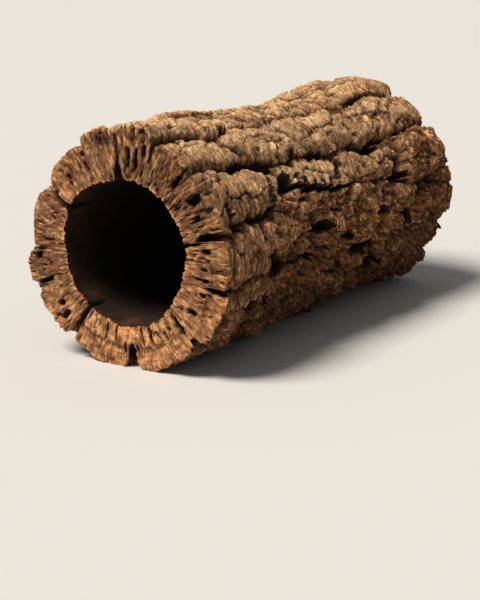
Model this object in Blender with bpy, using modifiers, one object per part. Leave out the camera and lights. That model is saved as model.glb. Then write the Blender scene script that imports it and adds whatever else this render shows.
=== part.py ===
"""A hollow cork branch lying on its side: one thick tube of virgin cork bark, sawn across at both ends.

Metres, +Z up. The branch lies along Y with its front sawn end at -Y. The origin is on the surface that it
rests on, under the middle of its box. Angles go round the branch's axis from +X towards +Z, and "along" is
a distance from the front end.
"""

import math

import bmesh
import bpy
import numpy as np

# Driving dimensions
LENGTH = 0.310
BARK_RADIUS = 0.0745
BORE_RADIUS = 0.047
AXIS_HEIGHT = 0.0748
AXIS_X = 0.0003

# The long fissures part the bark into staves. Each path gives a fissure's angle in degrees at equal steps
# from the front end to the back one, and each depth is the fissure's depth at the front end.
FISSURE_PATHS = (
    (14, 18, 9, 13, 12, 13),
    (48, 43, 40, 38, 38, 42),
    (73, 66, 66, 67, 66, 68),
    (94, 97, 93, 96, 92, 95),
    (117, 123, 127, 120, 118, 122),
    (149, 146, 152, 155, 149, 147),
    (184, 178, 184, 180, 176, 180),
    (205, 206, 202, 208, 211, 206),
    (233, 237, 230, 233, 238, 235),
    (274, 268, 270, 265, 268, 272),
    (315, 320, 326, 322, 320, 318),
    (347, 351, 348, 344, 342, 340),
)
FRONT_DEPTHS = (0.015, 0.005, 0.012, 0.023, 0.004, 0.017, 0.007, 0.013, 0.022, 0.016, 0.014, 0.013)
FRONT_DEPTH_REACH = 0.030
LEAST_DEPTH, MOST_DEPTH = 0.006, 0.015
DEPTH_WAVES = (0.09, 0.17)
FISSURE_HALF_WIDTH = 0.0026
WANDER = math.radians(1.3)
WANDER_WAVES = (0.035, 0.075)

# How far each stave's front stands over BARK_RADIUS, and how far back that reaches
FRONT_HEIGHTS = (0.0010, 0.0025, 0.0065, 0.0055, -0.0022, 0.0018, 0.0055, 0.0065, 0.0018, 0.0022, 0.0045, 0.0015)
FRONT_HEIGHT_REACH = 0.075

# Cross gaps part each stave into lumps of different heights. The staves on the side that shows best, and the
# two that the branch rests on, have their gaps (along) and lump heights chosen one by one, and the others
# are drawn from the seed.
CHOSEN_LUMPS = {
    0: ((0.069, 0.088, 0.151, 0.202, 0.238), (0.0015, -0.0030, 0.0005, 0.0010, -0.0030, 0.0030)),
    1: ((0.059, 0.122, 0.197), (-0.0015, 0.0030, 0.0025, 0.0000)),
    2: ((0.052, 0.145, 0.232), (0.0000, -0.0010, 0.0010, 0.0020)),
    8: ((0.047, 0.098, 0.139, 0.190, 0.246), (0.0002, 0.0014, -0.0005, 0.0016, 0.0002, 0.0024)),
    9: ((0.060, 0.108, 0.165, 0.212, 0.259), (0.0000, 0.0010, -0.0010, 0.0018, 0.0004, 0.0030)),
    10: ((0.038, 0.079, 0.103, 0.160, 0.205, 0.262), (0.0, -0.0010, -0.0030, 0.0020, -0.0010, 0.0015, 0.0)),
    11: ((0.056, 0.115, 0.166, 0.214, 0.262), (0.0015, -0.0025, 0.0010, 0.0015, -0.0015, 0.0010)),
}
LUMP_LENGTHS = (0.030, 0.062)
LUMP_STEP = 0.0050
MOST_LUMPS = 12
GAP_DEPTH = 0.0065
GAP_DEPTH_SHARES = (0.45, 1.25)
GAP_HALF_WIDTH = 0.0030
GAP_SLANT = 0.010
GAP_WAVE, GAP_WAVE_TURNS, GAP_WAVE_STEP = 0.0025, 1.3, 2.1
NO_GAPS_PAST = LENGTH - 0.012
SHOULDER_DROP = 0.0042
SHOULDER_REACH = 0.0085

# Broad swells and hollows of the whole branch: angle in degrees, share of the length, height, and how far
# each reaches round the branch, in degrees, and along it, in metres
SWELLS = (
    (95, 0.64, -0.0050, 50, 0.048),
    (98, 0.83, 0.0068, 42, 0.035),
    (60, 1.00, -0.0040, 40, 0.030),
    (10, 1.00, -0.0030, 40, 0.050),
    (270, 0.50, 0.0016, 30, 0.250),
    (292, 0.75, -0.0020, 25, 0.050),
)

# Knobs and pits: angle in degrees, along, height, and reach in metres
KNOBS_AND_PITS = (
    (11, 0.049, 0.0030, 0.007),
    (44, 0.067, -0.0060, 0.006),
    (27, 0.083, -0.0050, 0.005),
    (8, 0.116, -0.0070, 0.006),
    (-8, 0.065, -0.0060, 0.008),
    (40, 0.189, -0.0050, 0.006),
    (35, 0.207, -0.0050, 0.007),
    (-17, 0.172, -0.0060, 0.006),
    (-19, 0.199, -0.0050, 0.006),
    (-10, 0.247, -0.0060, 0.007),
    (69, 0.167, -0.0040, 0.005),
    (105, 0.105, -0.0050, 0.008),
    (137, 0.210, -0.0060, 0.008),
    (166, 0.090, -0.0060, 0.007),
    (196, 0.245, -0.0060, 0.008),
    (218, 0.150, -0.0055, 0.008),
)

# The bore is nearly round, with a soft ripple: height, turns round it, turns along it and phase
BORE_RIPPLES = ((0.0008, 3, 9.0, 0.0), (0.0007, 5, -23.0, 1.0))
BORE_SHIFT = 0.0008

# Grid of the faceted solid
COLUMN_SPACING = 0.0085
BARK_ROWS = 44
BORE_ROWS = 6
WALL_ROWS = 4
SHARP_EDGE = math.radians(50)

SEED = 7
CORK_COLOUR = (0.30, 0.17, 0.085, 1.0)
CORK_ROUGHNESS = 0.92


def fissure_table():
    """Phases and wavelengths of each fissure's wander and depth."""
    rng, count = np.random.default_rng(SEED), len(FISSURE_PATHS)
    return {
        "wander_phase": rng.uniform(0, math.tau, count),
        "wander_wave": rng.uniform(*WANDER_WAVES, count),
        "depth_phase": rng.uniform(0, math.tau, count),
        "depth_wave": rng.uniform(*DEPTH_WAVES, count),
    }


def lump_table():
    """For each stave, where its cross gaps are, how deep and slanted they are, and its lumps' heights."""
    rng, staves = np.random.default_rng(SEED + 1), []
    for k in range(len(FISSURE_PATHS)):
        lengths = rng.uniform(*LUMP_LENGTHS, MOST_LUMPS)
        gaps = np.cumsum(lengths) - rng.uniform(0.1, 0.9) * lengths[0]
        heights = rng.uniform(-0.5, 0.5, MOST_LUMPS + 1) * LUMP_STEP
        gaps = gaps[gaps < NO_GAPS_PAST]
        if k in CHOSEN_LUMPS:
            gaps, heights = (np.array(values) for values in CHOSEN_LUMPS[k])
        staves.append(
            {
                "gaps": gaps,
                "heights": heights,
                "depths": rng.uniform(*GAP_DEPTH_SHARES, MOST_LUMPS) * GAP_DEPTH,
                "slants": rng.uniform(-1, 1, MOST_LUMPS) * GAP_SLANT,
            }
        )
    return staves


FISSURES = fissure_table()
STAVES = lump_table()


def ramp(x):
    """0 below 0, 1 above 1, and smooth between."""
    x = np.clip(x, 0.0, 1.0)
    return x * x * (3 - 2 * x)


def fissure_angle(k, along):
    """The angle of fissure k, in radians: its path, with a small wander that starts at the front end."""
    path = FISSURE_PATHS[k]
    phase, wave = FISSURES["wander_phase"][k], FISSURES["wander_wave"][k]
    wander = WANDER * (np.sin(math.tau * along / wave + phase) - math.sin(phase))
    return np.radians(np.interp(along, np.linspace(0, LENGTH, len(path)), path)) + wander


def next_angle(k, along):
    """The angle of the fissure after k, always ahead of it."""
    following = (k + 1) % len(FISSURE_PATHS)
    turn = math.tau if following == 0 else 0.0
    return fissure_angle(following, along) + turn


def fissure_depth(k, along):
    """How deep fissure k is: its own depth at the front end, rising and falling further back."""
    wave = 0.5 + 0.5 * np.cos(math.tau * along / FISSURES["depth_wave"][k] + FISSURES["depth_phase"][k])
    further_back = LEAST_DEPTH + (MOST_DEPTH - LEAST_DEPTH) * wave
    at_front = np.exp(-along / FRONT_DEPTH_REACH)
    return further_back + (FRONT_DEPTHS[k] - further_back) * at_front


def broad_form(angle, along):
    """The swells, knobs and pits, as a height over BARK_RADIUS."""
    height = np.zeros(np.broadcast(angle, along).shape)
    for middle, share, rise, round_reach, along_reach in SWELLS:
        turn = np.angle(np.exp(1j * (angle - math.radians(middle)))) / math.radians(round_reach)
        run = (along - share * LENGTH) / along_reach
        height = height + rise * np.exp(-(turn**2) - run**2)
    for middle, place, rise, reach in KNOBS_AND_PITS:
        turn = np.angle(np.exp(1j * (angle - math.radians(middle)))) * BARK_RADIUS / reach
        run = (along - place) / reach
        height = height + rise * np.exp(-(turn**2) - run**2)
    return height


def gap_wave(k, share):
    """How far the cross gaps of stave k bend at a share of its width."""
    return GAP_WAVE * np.sin(math.tau * share * GAP_WAVE_TURNS + GAP_WAVE_STEP * k)


def lump_height(k, share, along):
    """Height of stave k over the broad form, at a share of its width: the lumps and the gaps between them."""
    stave = STAVES[k]
    shifted = along + gap_wave(k, share)
    height = stave["heights"][np.searchsorted(stave["gaps"], shifted)]
    height = height + FRONT_HEIGHTS[k] * np.exp(-((along / FRONT_HEIGHT_REACH) ** 2))
    for gap, depth, slant in zip(stave["gaps"], stave["depths"], stave["slants"]):
        off = np.abs(shifted - gap - slant * (share - 0.5))
        groove = 1 - ramp(off / GAP_HALF_WIDTH)
        shoulder = 0.5 * SHOULDER_DROP * np.exp(-off / SHOULDER_REACH)
        height = height * (1 - groove) - depth * groove - shoulder
    return height


def bark_point(k, share, along):
    """Angle of a point of the bark and its distance from the axis, in stave k at a share of its width."""
    start, end = fissure_angle(k, along), next_angle(k, along)
    angle = start + share * (end - start)
    nearest = np.minimum(share, 1 - share) * (end - start) * BARK_RADIUS
    following = (k + 1) % len(FISSURE_PATHS)
    depth = np.where(share < 0.5, fissure_depth(k, along), fissure_depth(following, along))
    groove = 1 - ramp(nearest / FISSURE_HALF_WIDTH)
    shoulder = SHOULDER_DROP * np.exp(-nearest / SHOULDER_REACH)
    height = (lump_height(k, share, along) - shoulder) * (1 - groove) - depth * groove
    return angle, BARK_RADIUS + broad_form(angle, along) + height


def bore_radius(angle, along):
    """The hollow's radius: nearly round, a little nearer the left side, with a soft ripple along it."""
    radius = BORE_RADIUS - BORE_SHIFT * np.cos(angle)
    for height, round_turns, along_turns, phase in BORE_RIPPLES:
        radius = radius + height * np.sin(round_turns * angle + along_turns * along + phase)
    return radius


def columns():
    """(stave, share of its width) of each column of the grid: one in each fissure, and more across each stave."""
    found = []
    for k in range(len(FISSURE_PATHS)):
        width = (next_angle(k, 0.0) - fissure_angle(k, 0.0)) * BARK_RADIUS
        edge = FISSURE_HALF_WIDTH / width
        inner = max(2, round((width - 2 * FISSURE_HALF_WIDTH) / COLUMN_SPACING))
        found += [(k, float(share)) for share in (0.0, *np.linspace(edge, 1 - edge, inner + 1))]
    return found


def row_places(k, share):
    """Distances from the front end of a column's rows. Where a cross gap is near a row, the row moves onto it."""
    rows = np.linspace(0, LENGTH, BARK_ROWS + 1)
    step = rows[1]
    stave = STAVES[k]
    for gap, slant in zip(stave["gaps"], stave["slants"]):
        place = gap + slant * (share - 0.5) - gap_wave(k, share)
        nearest = round(place / step)
        if 1 < nearest < BARK_ROWS - 1:
            rows[nearest] = place
    return rows


def plain_tube(steps):
    """The tube before it is shaped: the wall's section turned round the branch's axis."""
    mesh = bpy.data.meshes.new("wall_section")
    bm = bmesh.new()
    bark = [(BARK_RADIUS, y) for y in np.linspace(0, LENGTH, BARK_ROWS + 1)]
    back = [(r, LENGTH) for r in np.linspace(BARK_RADIUS, BORE_RADIUS, WALL_ROWS + 1)[1:]]
    bore = [(BORE_RADIUS, y) for y in np.linspace(LENGTH, 0, BORE_ROWS + 1)[1:]]
    front = [(r, 0) for r in np.linspace(BORE_RADIUS, BARK_RADIUS, WALL_ROWS + 1)[1:-1]]
    ring = [bm.verts.new((r, y, 0)) for r, y in bark + back + bore + front]
    for a, b in zip(ring, ring[1:] + ring[:1]):
        bm.edges.new((a, b))
    bm.to_mesh(mesh)
    bm.free()
    section = bpy.data.objects.new("wall_section", mesh)
    bpy.context.scene.collection.objects.link(section)
    turn = section.modifiers.new("turn", "SCREW")
    turn.axis = "Y"
    turn.angle = math.tau
    turn.steps = turn.render_steps = steps
    turn.use_merge_vertices = False
    return section


def shape_wall(bm, grid):
    """Moves each vertex of the plain tube to its place on the bark, the sawn ends or the bore."""
    step = math.tau / len(grid)
    for vertex in bm.verts:
        x, along, z = vertex.co
        k, share = grid[round(math.atan2(z, x) / step) % len(grid)]
        outward = (math.hypot(x, z) - BORE_RADIUS) / (BARK_RADIUS - BORE_RADIUS)
        on_bark = outward > 0.999
        if on_bark:
            along = row_places(k, share)[round(along / LENGTH * BARK_ROWS)]
        angle, bark = bark_point(k, share, np.float64(along))
        bore = bore_radius(angle, along)
        radius = bore + outward * (bark - bore)
        vertex.co.x = AXIS_X + radius * math.cos(angle)
        vertex.co.y = along - LENGTH / 2
        vertex.co.z = max(0.0, AXIS_HEIGHT + radius * math.sin(angle))


def cork_material():
    material = bpy.data.materials.new("cork_bark")
    material.use_nodes = True
    surface = material.node_tree.nodes["Principled BSDF"]
    surface.inputs["Base Color"].default_value = CORK_COLOUR
    surface.inputs["Roughness"].default_value = CORK_ROUGHNESS
    surface.inputs["Metallic"].default_value = 0.0
    material.diffuse_color = CORK_COLOUR
    return material


def cork_branch(collection):
    """The one piece: the whole tube of bark."""
    grid = columns()
    section = plain_tube(len(grid))
    turned = section.evaluated_get(bpy.context.evaluated_depsgraph_get())
    mesh = bpy.data.meshes.new_from_object(turned)
    bpy.data.objects.remove(section)
    bm = bmesh.new()
    bm.from_mesh(mesh)
    shape_wall(bm, grid)
    bmesh.ops.triangulate(bm, faces=bm.faces, quad_method="SHORT_EDGE")
    bmesh.ops.recalc_face_normals(bm, faces=bm.faces)
    bm.to_mesh(mesh)
    bm.free()
    mesh.materials.clear()
    mesh.materials.append(cork_material())
    mesh.shade_smooth()
    mesh.set_sharp_from_angle(angle=SHARP_EDGE)
    branch = bpy.data.objects.new("cork_branch", mesh)
    collection.objects.link(branch)
    return branch


def main():
    for old in list(bpy.data.objects):
        bpy.data.objects.remove(old)
    collection = bpy.data.collections.new("cork branch")
    bpy.context.scene.collection.children.link(collection)
    cork_branch(collection)


main()
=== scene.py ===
"""Looks of the hollow cork branch: one closed mesh of weathered bark, sawn at both ends, on a pale floor."""

import itertools
import math

import bpy
import numpy as np
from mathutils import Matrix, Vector


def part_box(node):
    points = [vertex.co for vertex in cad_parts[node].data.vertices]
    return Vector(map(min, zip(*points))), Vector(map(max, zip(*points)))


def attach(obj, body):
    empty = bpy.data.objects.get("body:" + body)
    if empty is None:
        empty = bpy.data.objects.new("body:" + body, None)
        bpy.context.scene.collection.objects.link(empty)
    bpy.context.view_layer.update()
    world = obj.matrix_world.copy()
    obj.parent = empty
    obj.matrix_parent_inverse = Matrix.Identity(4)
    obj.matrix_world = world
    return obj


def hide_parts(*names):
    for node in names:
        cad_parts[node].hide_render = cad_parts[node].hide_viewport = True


bl_info = {
    "name": "Cork branch",
    "version": (1, 0, 0),
    "blender": (4, 5, 0),
    "location": "3D View > Sidebar > Cork",
    "description": "Makes the bark, sawn ends and bore of a hollow cork branch, and a plain stage for it",
    "category": "Object",
}

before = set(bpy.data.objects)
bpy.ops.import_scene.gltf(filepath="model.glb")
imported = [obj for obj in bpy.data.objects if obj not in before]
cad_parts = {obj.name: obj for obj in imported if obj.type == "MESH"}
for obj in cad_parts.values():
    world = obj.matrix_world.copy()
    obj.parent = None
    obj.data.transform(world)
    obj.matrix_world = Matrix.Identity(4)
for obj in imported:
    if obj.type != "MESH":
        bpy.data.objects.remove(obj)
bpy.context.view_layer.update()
NODE = "cork_branch"
LOW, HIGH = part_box(NODE)

# The branch's form. These are the solid's own values, so that the bark lies where the solid does. Angles go
# round the branch's axis from +X towards +Z, and "along" is a distance from the front end.
LENGTH = round(HIGH[1] - LOW[1], 4)
BARK_RADIUS = 0.0745
BORE_RADIUS = 0.047
AXIS_HEIGHT = 0.0748
AXIS_X = 0.0003
SEED = 7

FISSURE_PATHS = (
    (14, 18, 9, 13, 12, 13),
    (48, 43, 40, 38, 38, 42),
    (73, 66, 66, 67, 66, 68),
    (94, 97, 93, 96, 92, 95),
    (117, 123, 127, 120, 118, 122),
    (149, 146, 152, 155, 149, 147),
    (184, 178, 184, 180, 176, 180),
    (205, 206, 202, 208, 211, 206),
    (233, 237, 230, 233, 238, 235),
    (274, 268, 270, 265, 268, 272),
    (315, 320, 326, 322, 320, 318),
    (347, 351, 348, 344, 342, 340),
)
STAVES = len(FISSURE_PATHS)
FRONT_DEPTHS = np.array((15, 5, 12, 7, 4, 13, 7, 12, 17, 15, 5, 11)) / 1000
FRONT_DEPTH_REACH = 0.030
LEAST_DEPTH, MOST_DEPTH = 0.006, 0.015
DEPTH_WAVES = (0.09, 0.17)
FISSURE_HALF_WIDTH = 0.0026
WANDER = math.radians(1.3)
WANDER_WAVES = (0.035, 0.075)
FRONT_HEIGHTS = np.array((1.0, 2.5, 6.5, 5.5, -2.2, 1.8, 5.5, 6.5, 1.8, 2.2, 4.5, 1.5)) / 1000
FRONT_HEIGHT_REACH = 0.075

CHOSEN_LUMPS = {
    0: ((0.069, 0.088, 0.151, 0.202, 0.238), (0.0015, -0.0030, 0.0005, 0.0010, -0.0030, 0.0030)),
    1: ((0.059, 0.122, 0.197), (-0.0015, 0.0030, 0.0025, 0.0000)),
    2: ((0.052, 0.145, 0.232), (0.0000, -0.0010, 0.0010, 0.0020)),
    8: ((0.047, 0.098, 0.139, 0.190, 0.246), (0.0002, 0.0014, -0.0005, 0.0016, 0.0002, 0.0024)),
    9: ((0.060, 0.108, 0.165, 0.212, 0.259), (0.0000, 0.0010, -0.0010, 0.0018, 0.0004, 0.0030)),
    10: ((0.038, 0.079, 0.103, 0.160, 0.205, 0.262), (0.0, -0.0010, -0.0030, 0.0020, -0.0010, 0.0015, 0.0)),
    11: ((0.056, 0.115, 0.166, 0.214, 0.262), (0.0015, -0.0025, 0.0010, 0.0015, -0.0015, 0.0010)),
}
LUMP_LENGTHS = (0.030, 0.062)
LUMP_STEP = 0.0050
MOST_LUMPS = 12
GAP_DEPTH = 0.0065
GAP_DEPTH_SHARES = (0.45, 1.25)
GAP_HALF_WIDTH = 0.0030
GAP_SLANT = 0.010
GAP_WAVE, GAP_WAVE_TURNS, GAP_WAVE_STEP = 0.0025, 1.3, 2.1
NO_GAPS_PAST = LENGTH - 0.012
NOWHERE = 9.0
SWELLS = (
    (95, 0.64, -0.0050, 50, 0.048),
    (98, 0.83, 0.0068, 42, 0.035),
    (60, 1.00, -0.0040, 40, 0.030),
    (10, 1.00, -0.0030, 40, 0.050),
    (270, 0.50, 0.0016, 30, 0.250),
    (292, 0.75, -0.0020, 25, 0.050),
)
KNOBS_AND_PITS = (
    (11, 0.049, 0.0030, 0.007),
    (44, 0.067, -0.0060, 0.006),
    (27, 0.083, -0.0050, 0.005),
    (8, 0.116, -0.0070, 0.006),
    (-8, 0.065, -0.0060, 0.008),
    (40, 0.189, -0.0050, 0.006),
    (35, 0.207, -0.0050, 0.007),
    (-17, 0.172, -0.0060, 0.006),
    (-19, 0.199, -0.0050, 0.006),
    (-10, 0.247, -0.0060, 0.007),
    (69, 0.167, -0.0040, 0.005),
    (105, 0.105, -0.0050, 0.008),
    (137, 0.210, -0.0060, 0.008),
    (166, 0.090, -0.0060, 0.007),
    (196, 0.245, -0.0060, 0.008),
    (218, 0.150, -0.0055, 0.008),
)
BORE_RIPPLES = ((0.0008, 3, 9.0, 0.0), (0.0007, 5, -23.0, 1.0))
BORE_SHIFT = 0.0008

# Fine grid of the wall: its columns go round, and its rows go along the bark, the bore and the sawn ends.
# Each list holds the cuts that a row is made by, one after the other.
COLUMN_SPACING = 0.00068
BARK_CUTS = (7, 10, 6)
BORE_CUTS = (10, 9)
FACE_CUTS = (8, 6)
MOST_TRIANGLES = 190_000

# Slots, holes and splits that show on the front sawn end: angle in degrees, then distance from the axis, half
# width, half length and depth in millimetres
FRONT_SLOTS = (
    (94.5, 65.0, 1.1, 9.0, 9.0),
    (87.0, 60.5, 1.5, 6.5, 12.0),
    (81.4, 60.5, 1.6, 7.0, 12.0),
    (76.5, 67.5, 1.5, 4.0, 6.0),
    (51.0, 62.5, 1.8, 5.0, 7.0),
    (37.0, 64.5, 2.7, 4.6, 7.0),
    (27.0, 61.0, 1.8, 3.0, 4.0),
    (28.5, 70.0, 1.4, 2.6, 3.5),
    (15.0, 64.0, 2.3, 7.5, 9.0),
    (12.5, 53.0, 0.9, 6.5, 4.0),
    (7.0, 62.0, 1.3, 3.2, 4.5),
    (357.0, 60.0, 1.0, 2.4, 3.5),
    (350.5, 61.0, 1.2, 3.4, 4.0),
    (346.5, 69.5, 1.3, 7.5, 9.0),
    (342.0, 62.0, 1.5, 2.2, 4.5),
    (328.5, 59.5, 1.9, 3.4, 8.0),
    (314.5, 58.0, 1.9, 7.0, 12.0),
    (302.5, 58.5, 1.0, 3.4, 4.0),
    (291.0, 54.5, 1.0, 8.5, 6.0),
    (278.5, 62.5, 0.8, 4.0, 3.5),
    (275.0, 66.5, 1.6, 8.5, 12.0),
    (269.5, 61.5, 0.7, 4.0, 3.0),
    (284.0, 54.0, 0.7, 6.0, 3.0),
    (262.0, 53.0, 0.7, 5.5, 3.0),
    (254.0, 54.5, 0.7, 6.0, 3.0),
    (188.5, 70.0, 2.4, 2.9, 5.5),
    (202.5, 69.0, 1.5, 6.0, 7.0),
    (217.5, 64.5, 2.1, 2.8, 6.0),
    (224.0, 67.0, 1.9, 4.4, 4.0),
    (233.5, 57.0, 1.6, 12.5, 10.0),
    (96.0, 72.5, 1.4, 4.2, 5.0),
    (102.0, 72.5, 1.1, 2.6, 3.0),
    (106.5, 71.5, 1.1, 2.6, 3.0),
    (118.5, 67.5, 1.3, 2.0, 4.0),
    (119.0, 59.0, 1.1, 3.4, 4.0),
    (134.5, 61.0, 1.3, 2.3, 3.5),
    (151.0, 54.0, 1.5, 9.0, 8.0),
)
BACK_SLOTS = (
    (23.0, 62.0, 1.8, 4.5, 6.0),
    (42.0, 60.0, 1.1, 8.0, 7.0),
    (68.0, 57.0, 1.2, 8.0, 7.0),
    (88.0, 64.0, 2.0, 3.4, 5.0),
    (112.0, 58.0, 1.2, 6.0, 5.0),
    (147.0, 58.0, 1.3, 9.0, 9.0),
    (166.0, 66.0, 2.2, 2.8, 5.0),
    (193.0, 60.0, 1.4, 5.0, 5.0),
    (222.0, 64.0, 1.8, 4.0, 5.0),
    (250.0, 57.0, 1.1, 6.0, 4.0),
    (272.0, 59.0, 1.3, 10.0, 9.0),
    (296.0, 64.0, 1.9, 3.6, 5.0),
    (333.0, 61.0, 1.5, 5.0, 5.0),
)
# Where the bark rolls over the edge of a sawn end: angle and reach in degrees, then how far it is let in and
# how wide the roll is, in millimetres
FRONT_ROLLS = (
    (37, 12, 10.0, 6.0),
    (60, 10, 3.2, 3.6),
    (2, 9, 2.0, 2.0),
    (165, 25, 1.2, 2.5),
    (300, 30, 1.0, 2.0),
)
BACK_ROLLS = ((50, 25, 4.0, 4.0), (130, 20, 3.0, 3.5), (220, 40, 1.5, 2.5), (330, 25, 3.0, 4.0))
# Outer layers that stop short of the sawn end: angle and reach in degrees, then distance from the axis and
# how far they are set back, in millimetres
FRONT_LEDGES = ((105.0, 10.5, 69.5, 2.3), (266.0, 36.0, 61.5, 1.3), (345.0, 16.0, 66.0, 0.9))
BACK_LEDGES = ((30.0, 20.0, 66.0, 2.0), (180.0, 25.0, 64.0, 1.2), (305.0, 20.0, 68.0, 2.5))
# Notches where a split opens into the bore: angle in degrees, half width in millimetres at the bore, how far
# the notch reaches into the wall and how far along the bore
FRONT_NOTCHES = (
    (94.5, 3.8, 15.0, 18.0),
    (151.0, 2.6, 6.0, 10.0),
    (233.5, 2.0, 4.5, 9.0),
    (12.0, 1.4, 2.4, 6.0),
)
BACK_NOTCHES = ((147.0, 2.6, 6.0, 10.0), (272.0, 2.6, 7.0, 12.0), (42.0, 2.0, 4.0, 8.0))
# Where the sawn cork is rougher or calmer than elsewhere: angle and reach in degrees, and the change
ROUGH_SIDES = ((52, 30, 0.45), (200, 35, 0.10), (270, 45, -0.40))
# Each sawn end: its row of the bark's grid, the seed of its grain, and its own marks
SAWN_ENDS = (
    (0, 200, FRONT_SLOTS, FRONT_ROLLS, FRONT_LEDGES),
    (-1, 300, BACK_SLOTS, BACK_ROLLS, BACK_LEDGES),
)
# The grain of the sawn ends: the radius that its sizes hold at, and that of the step between two rings
FACE_MIDDLE = 0.060
RING_RADIUS = 0.0610


def scatter(*whole, seed=0):
    """A random number from 0 to 1 for each set of whole numbers, the same on each run."""
    mixed = np.full(np.broadcast(*whole).shape, (seed * 2654435761 + 97) % 2**32, np.uint32)
    for number in whole:
        low_bits = (np.asarray(number, np.int64) & 0xFFFFFFFF).astype(np.uint32)
        mixed = (mixed ^ low_bits) * np.uint32(0x9E3779B1)
        mixed = (mixed ^ (mixed >> np.uint32(15))) * np.uint32(0x85EBCA77)
        mixed = mixed ^ (mixed >> np.uint32(13))
    return mixed / 2.0**32


def ramp(x):
    """0 below 0, 1 above 1, and smooth between."""
    x = np.clip(x, 0.0, 1.0)
    return x * x * (3 - 2 * x)


def mixed_by(share, low, high):
    """The value that share of the way from low to high."""
    return low + share * (high - low)


def turn_from(angle, middle):
    """How far round an angle lies from a middle in degrees, in radians and at most half a turn."""
    return np.angle(np.exp(1j * (angle - math.radians(middle))))


def noise(x, y, z, seed):
    """Soft random waves from -1 to 1, one unit from crest to crest at the least."""
    places = [np.floor(v) for v in (x, y, z)]
    whole = [place.astype(np.int64) for place in places]
    parts = [ramp(v - place) for v, place in zip((x, y, z), places)]
    total = 0.0
    for corner in itertools.product((0, 1), repeat=3):
        weight = 1.0
        for part, far in zip(parts, corner):
            weight = weight * (part if far else 1 - part)
        total = total + weight * scatter(*(n + far for n, far in zip(whole, corner)), seed=seed)
    return 2 * total - 1


def rough(x, y, z, seed, octaves=3):
    """Noise with finer noise laid over it, from about -1 to 1."""
    total, size = 0.0, 1.0
    for octave in range(octaves):
        total = total + size * noise(x / size, y / size, z / size, seed + octave)
        size *= 0.5
    return total / 1.4


def cells(x, y, z, seed):
    """Irregular cells: distances to the middles of a point's cell and of the next, and a random number."""
    whole = [np.floor(v).astype(np.int64) for v in (x, y, z)]
    first = np.full(np.shape(x), 9.0)
    second, pick = first.copy(), np.zeros(np.shape(x))
    for step in itertools.product((-1, 0, 1), repeat=3):
        cell = [n + s for n, s in zip(whole, step)]
        away = 0.0
        for axis, (n, v) in enumerate(zip(cell, (x, y, z))):
            away = away + (n + scatter(*cell, seed=seed + axis) - v) ** 2
        away = np.sqrt(away)
        nearer = away < first
        second = np.where(nearer, first, np.minimum(second, away))
        pick = np.where(nearer, scatter(*cell, seed=seed + 3), pick)
        first = np.minimum(first, away)
    return first, second, pick


def blurred(values, reach):
    """The mean of a grid over reach cells each way. The first axis goes round and closes on itself."""
    total = sum(np.roll(values, step, axis=0) for step in range(-reach, reach + 1)) / (2 * reach + 1)
    padded = np.pad(total, ((0, 0), (reach, reach)), mode="edge")
    rows = values.shape[1]
    return sum(padded[:, step : step + rows] for step in range(2 * reach + 1)) / (2 * reach + 1)


def fissure_table():
    """Phases and wavelengths of each fissure's wander and depth."""
    rng = np.random.default_rng(SEED)
    return {
        "wander_phase": rng.uniform(0, math.tau, STAVES),
        "wander_wave": rng.uniform(*WANDER_WAVES, STAVES),
        "depth_phase": rng.uniform(0, math.tau, STAVES),
        "depth_wave": rng.uniform(*DEPTH_WAVES, STAVES),
    }


def lump_table():
    """Each stave's cross gaps, their depths and slants, and its lumps' heights, one row a stave."""
    rng = np.random.default_rng(SEED + 1)
    table = {
        "gaps": np.full((STAVES, MOST_LUMPS), NOWHERE),
        "heights": np.zeros((STAVES, MOST_LUMPS + 1)),
        "depths": np.zeros((STAVES, MOST_LUMPS)),
        "slants": np.zeros((STAVES, MOST_LUMPS)),
    }
    for k in range(STAVES):
        lengths = rng.uniform(*LUMP_LENGTHS, MOST_LUMPS)
        gaps = np.cumsum(lengths) - rng.uniform(0.1, 0.9) * lengths[0]
        heights = rng.uniform(-0.5, 0.5, MOST_LUMPS + 1) * LUMP_STEP
        gaps = gaps[gaps < NO_GAPS_PAST]
        if k in CHOSEN_LUMPS:
            gaps, heights = (np.array(values) for values in CHOSEN_LUMPS[k])
        table["gaps"][k, : len(gaps)] = gaps
        table["heights"][k, : len(heights)] = heights
        table["depths"][k] = rng.uniform(*GAP_DEPTH_SHARES, MOST_LUMPS) * GAP_DEPTH
        table["slants"][k] = rng.uniform(-1, 1, MOST_LUMPS) * GAP_SLANT
    return table


FISSURES = fissure_table()
LUMPS = lump_table()


def fissure_angle(k, along):
    """The angle of fissure k, in radians: its path, with a small wander that starts at the front end."""
    path = FISSURE_PATHS[k]
    phase, wave = FISSURES["wander_phase"][k], FISSURES["wander_wave"][k]
    wander = WANDER * (np.sin(math.tau * along / wave + phase) - math.sin(phase))
    return np.radians(np.interp(along, np.linspace(0, LENGTH, len(path)), path)) + wander


def fissure_depth(k, along):
    """How deep fissure k is: its own depth at the front end, rising and falling further back."""
    wave = 0.5 + 0.5 * np.cos(math.tau * along / FISSURES["depth_wave"][k] + FISSURES["depth_phase"][k])
    further_back = mixed_by(wave, LEAST_DEPTH, MOST_DEPTH)
    return further_back + (FRONT_DEPTHS[k] - further_back) * np.exp(-along / FRONT_DEPTH_REACH)


def broad_form(angle, along):
    """The swells, knobs and pits, as a height over BARK_RADIUS."""
    height = np.zeros(np.broadcast(angle, along).shape)
    for middle, share, rise, round_reach, along_reach in SWELLS:
        turn = turn_from(angle, middle) / math.radians(round_reach)
        run = (along - share * LENGTH) / along_reach
        height = height + rise * np.exp(-(turn**2) - run**2)
    for middle, place, rise, reach in KNOBS_AND_PITS:
        turn = turn_from(angle, middle) * BARK_RADIUS / reach
        run = (along - place) / reach
        height = height + rise * np.exp(-(turn**2) - run**2)
    return height


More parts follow.
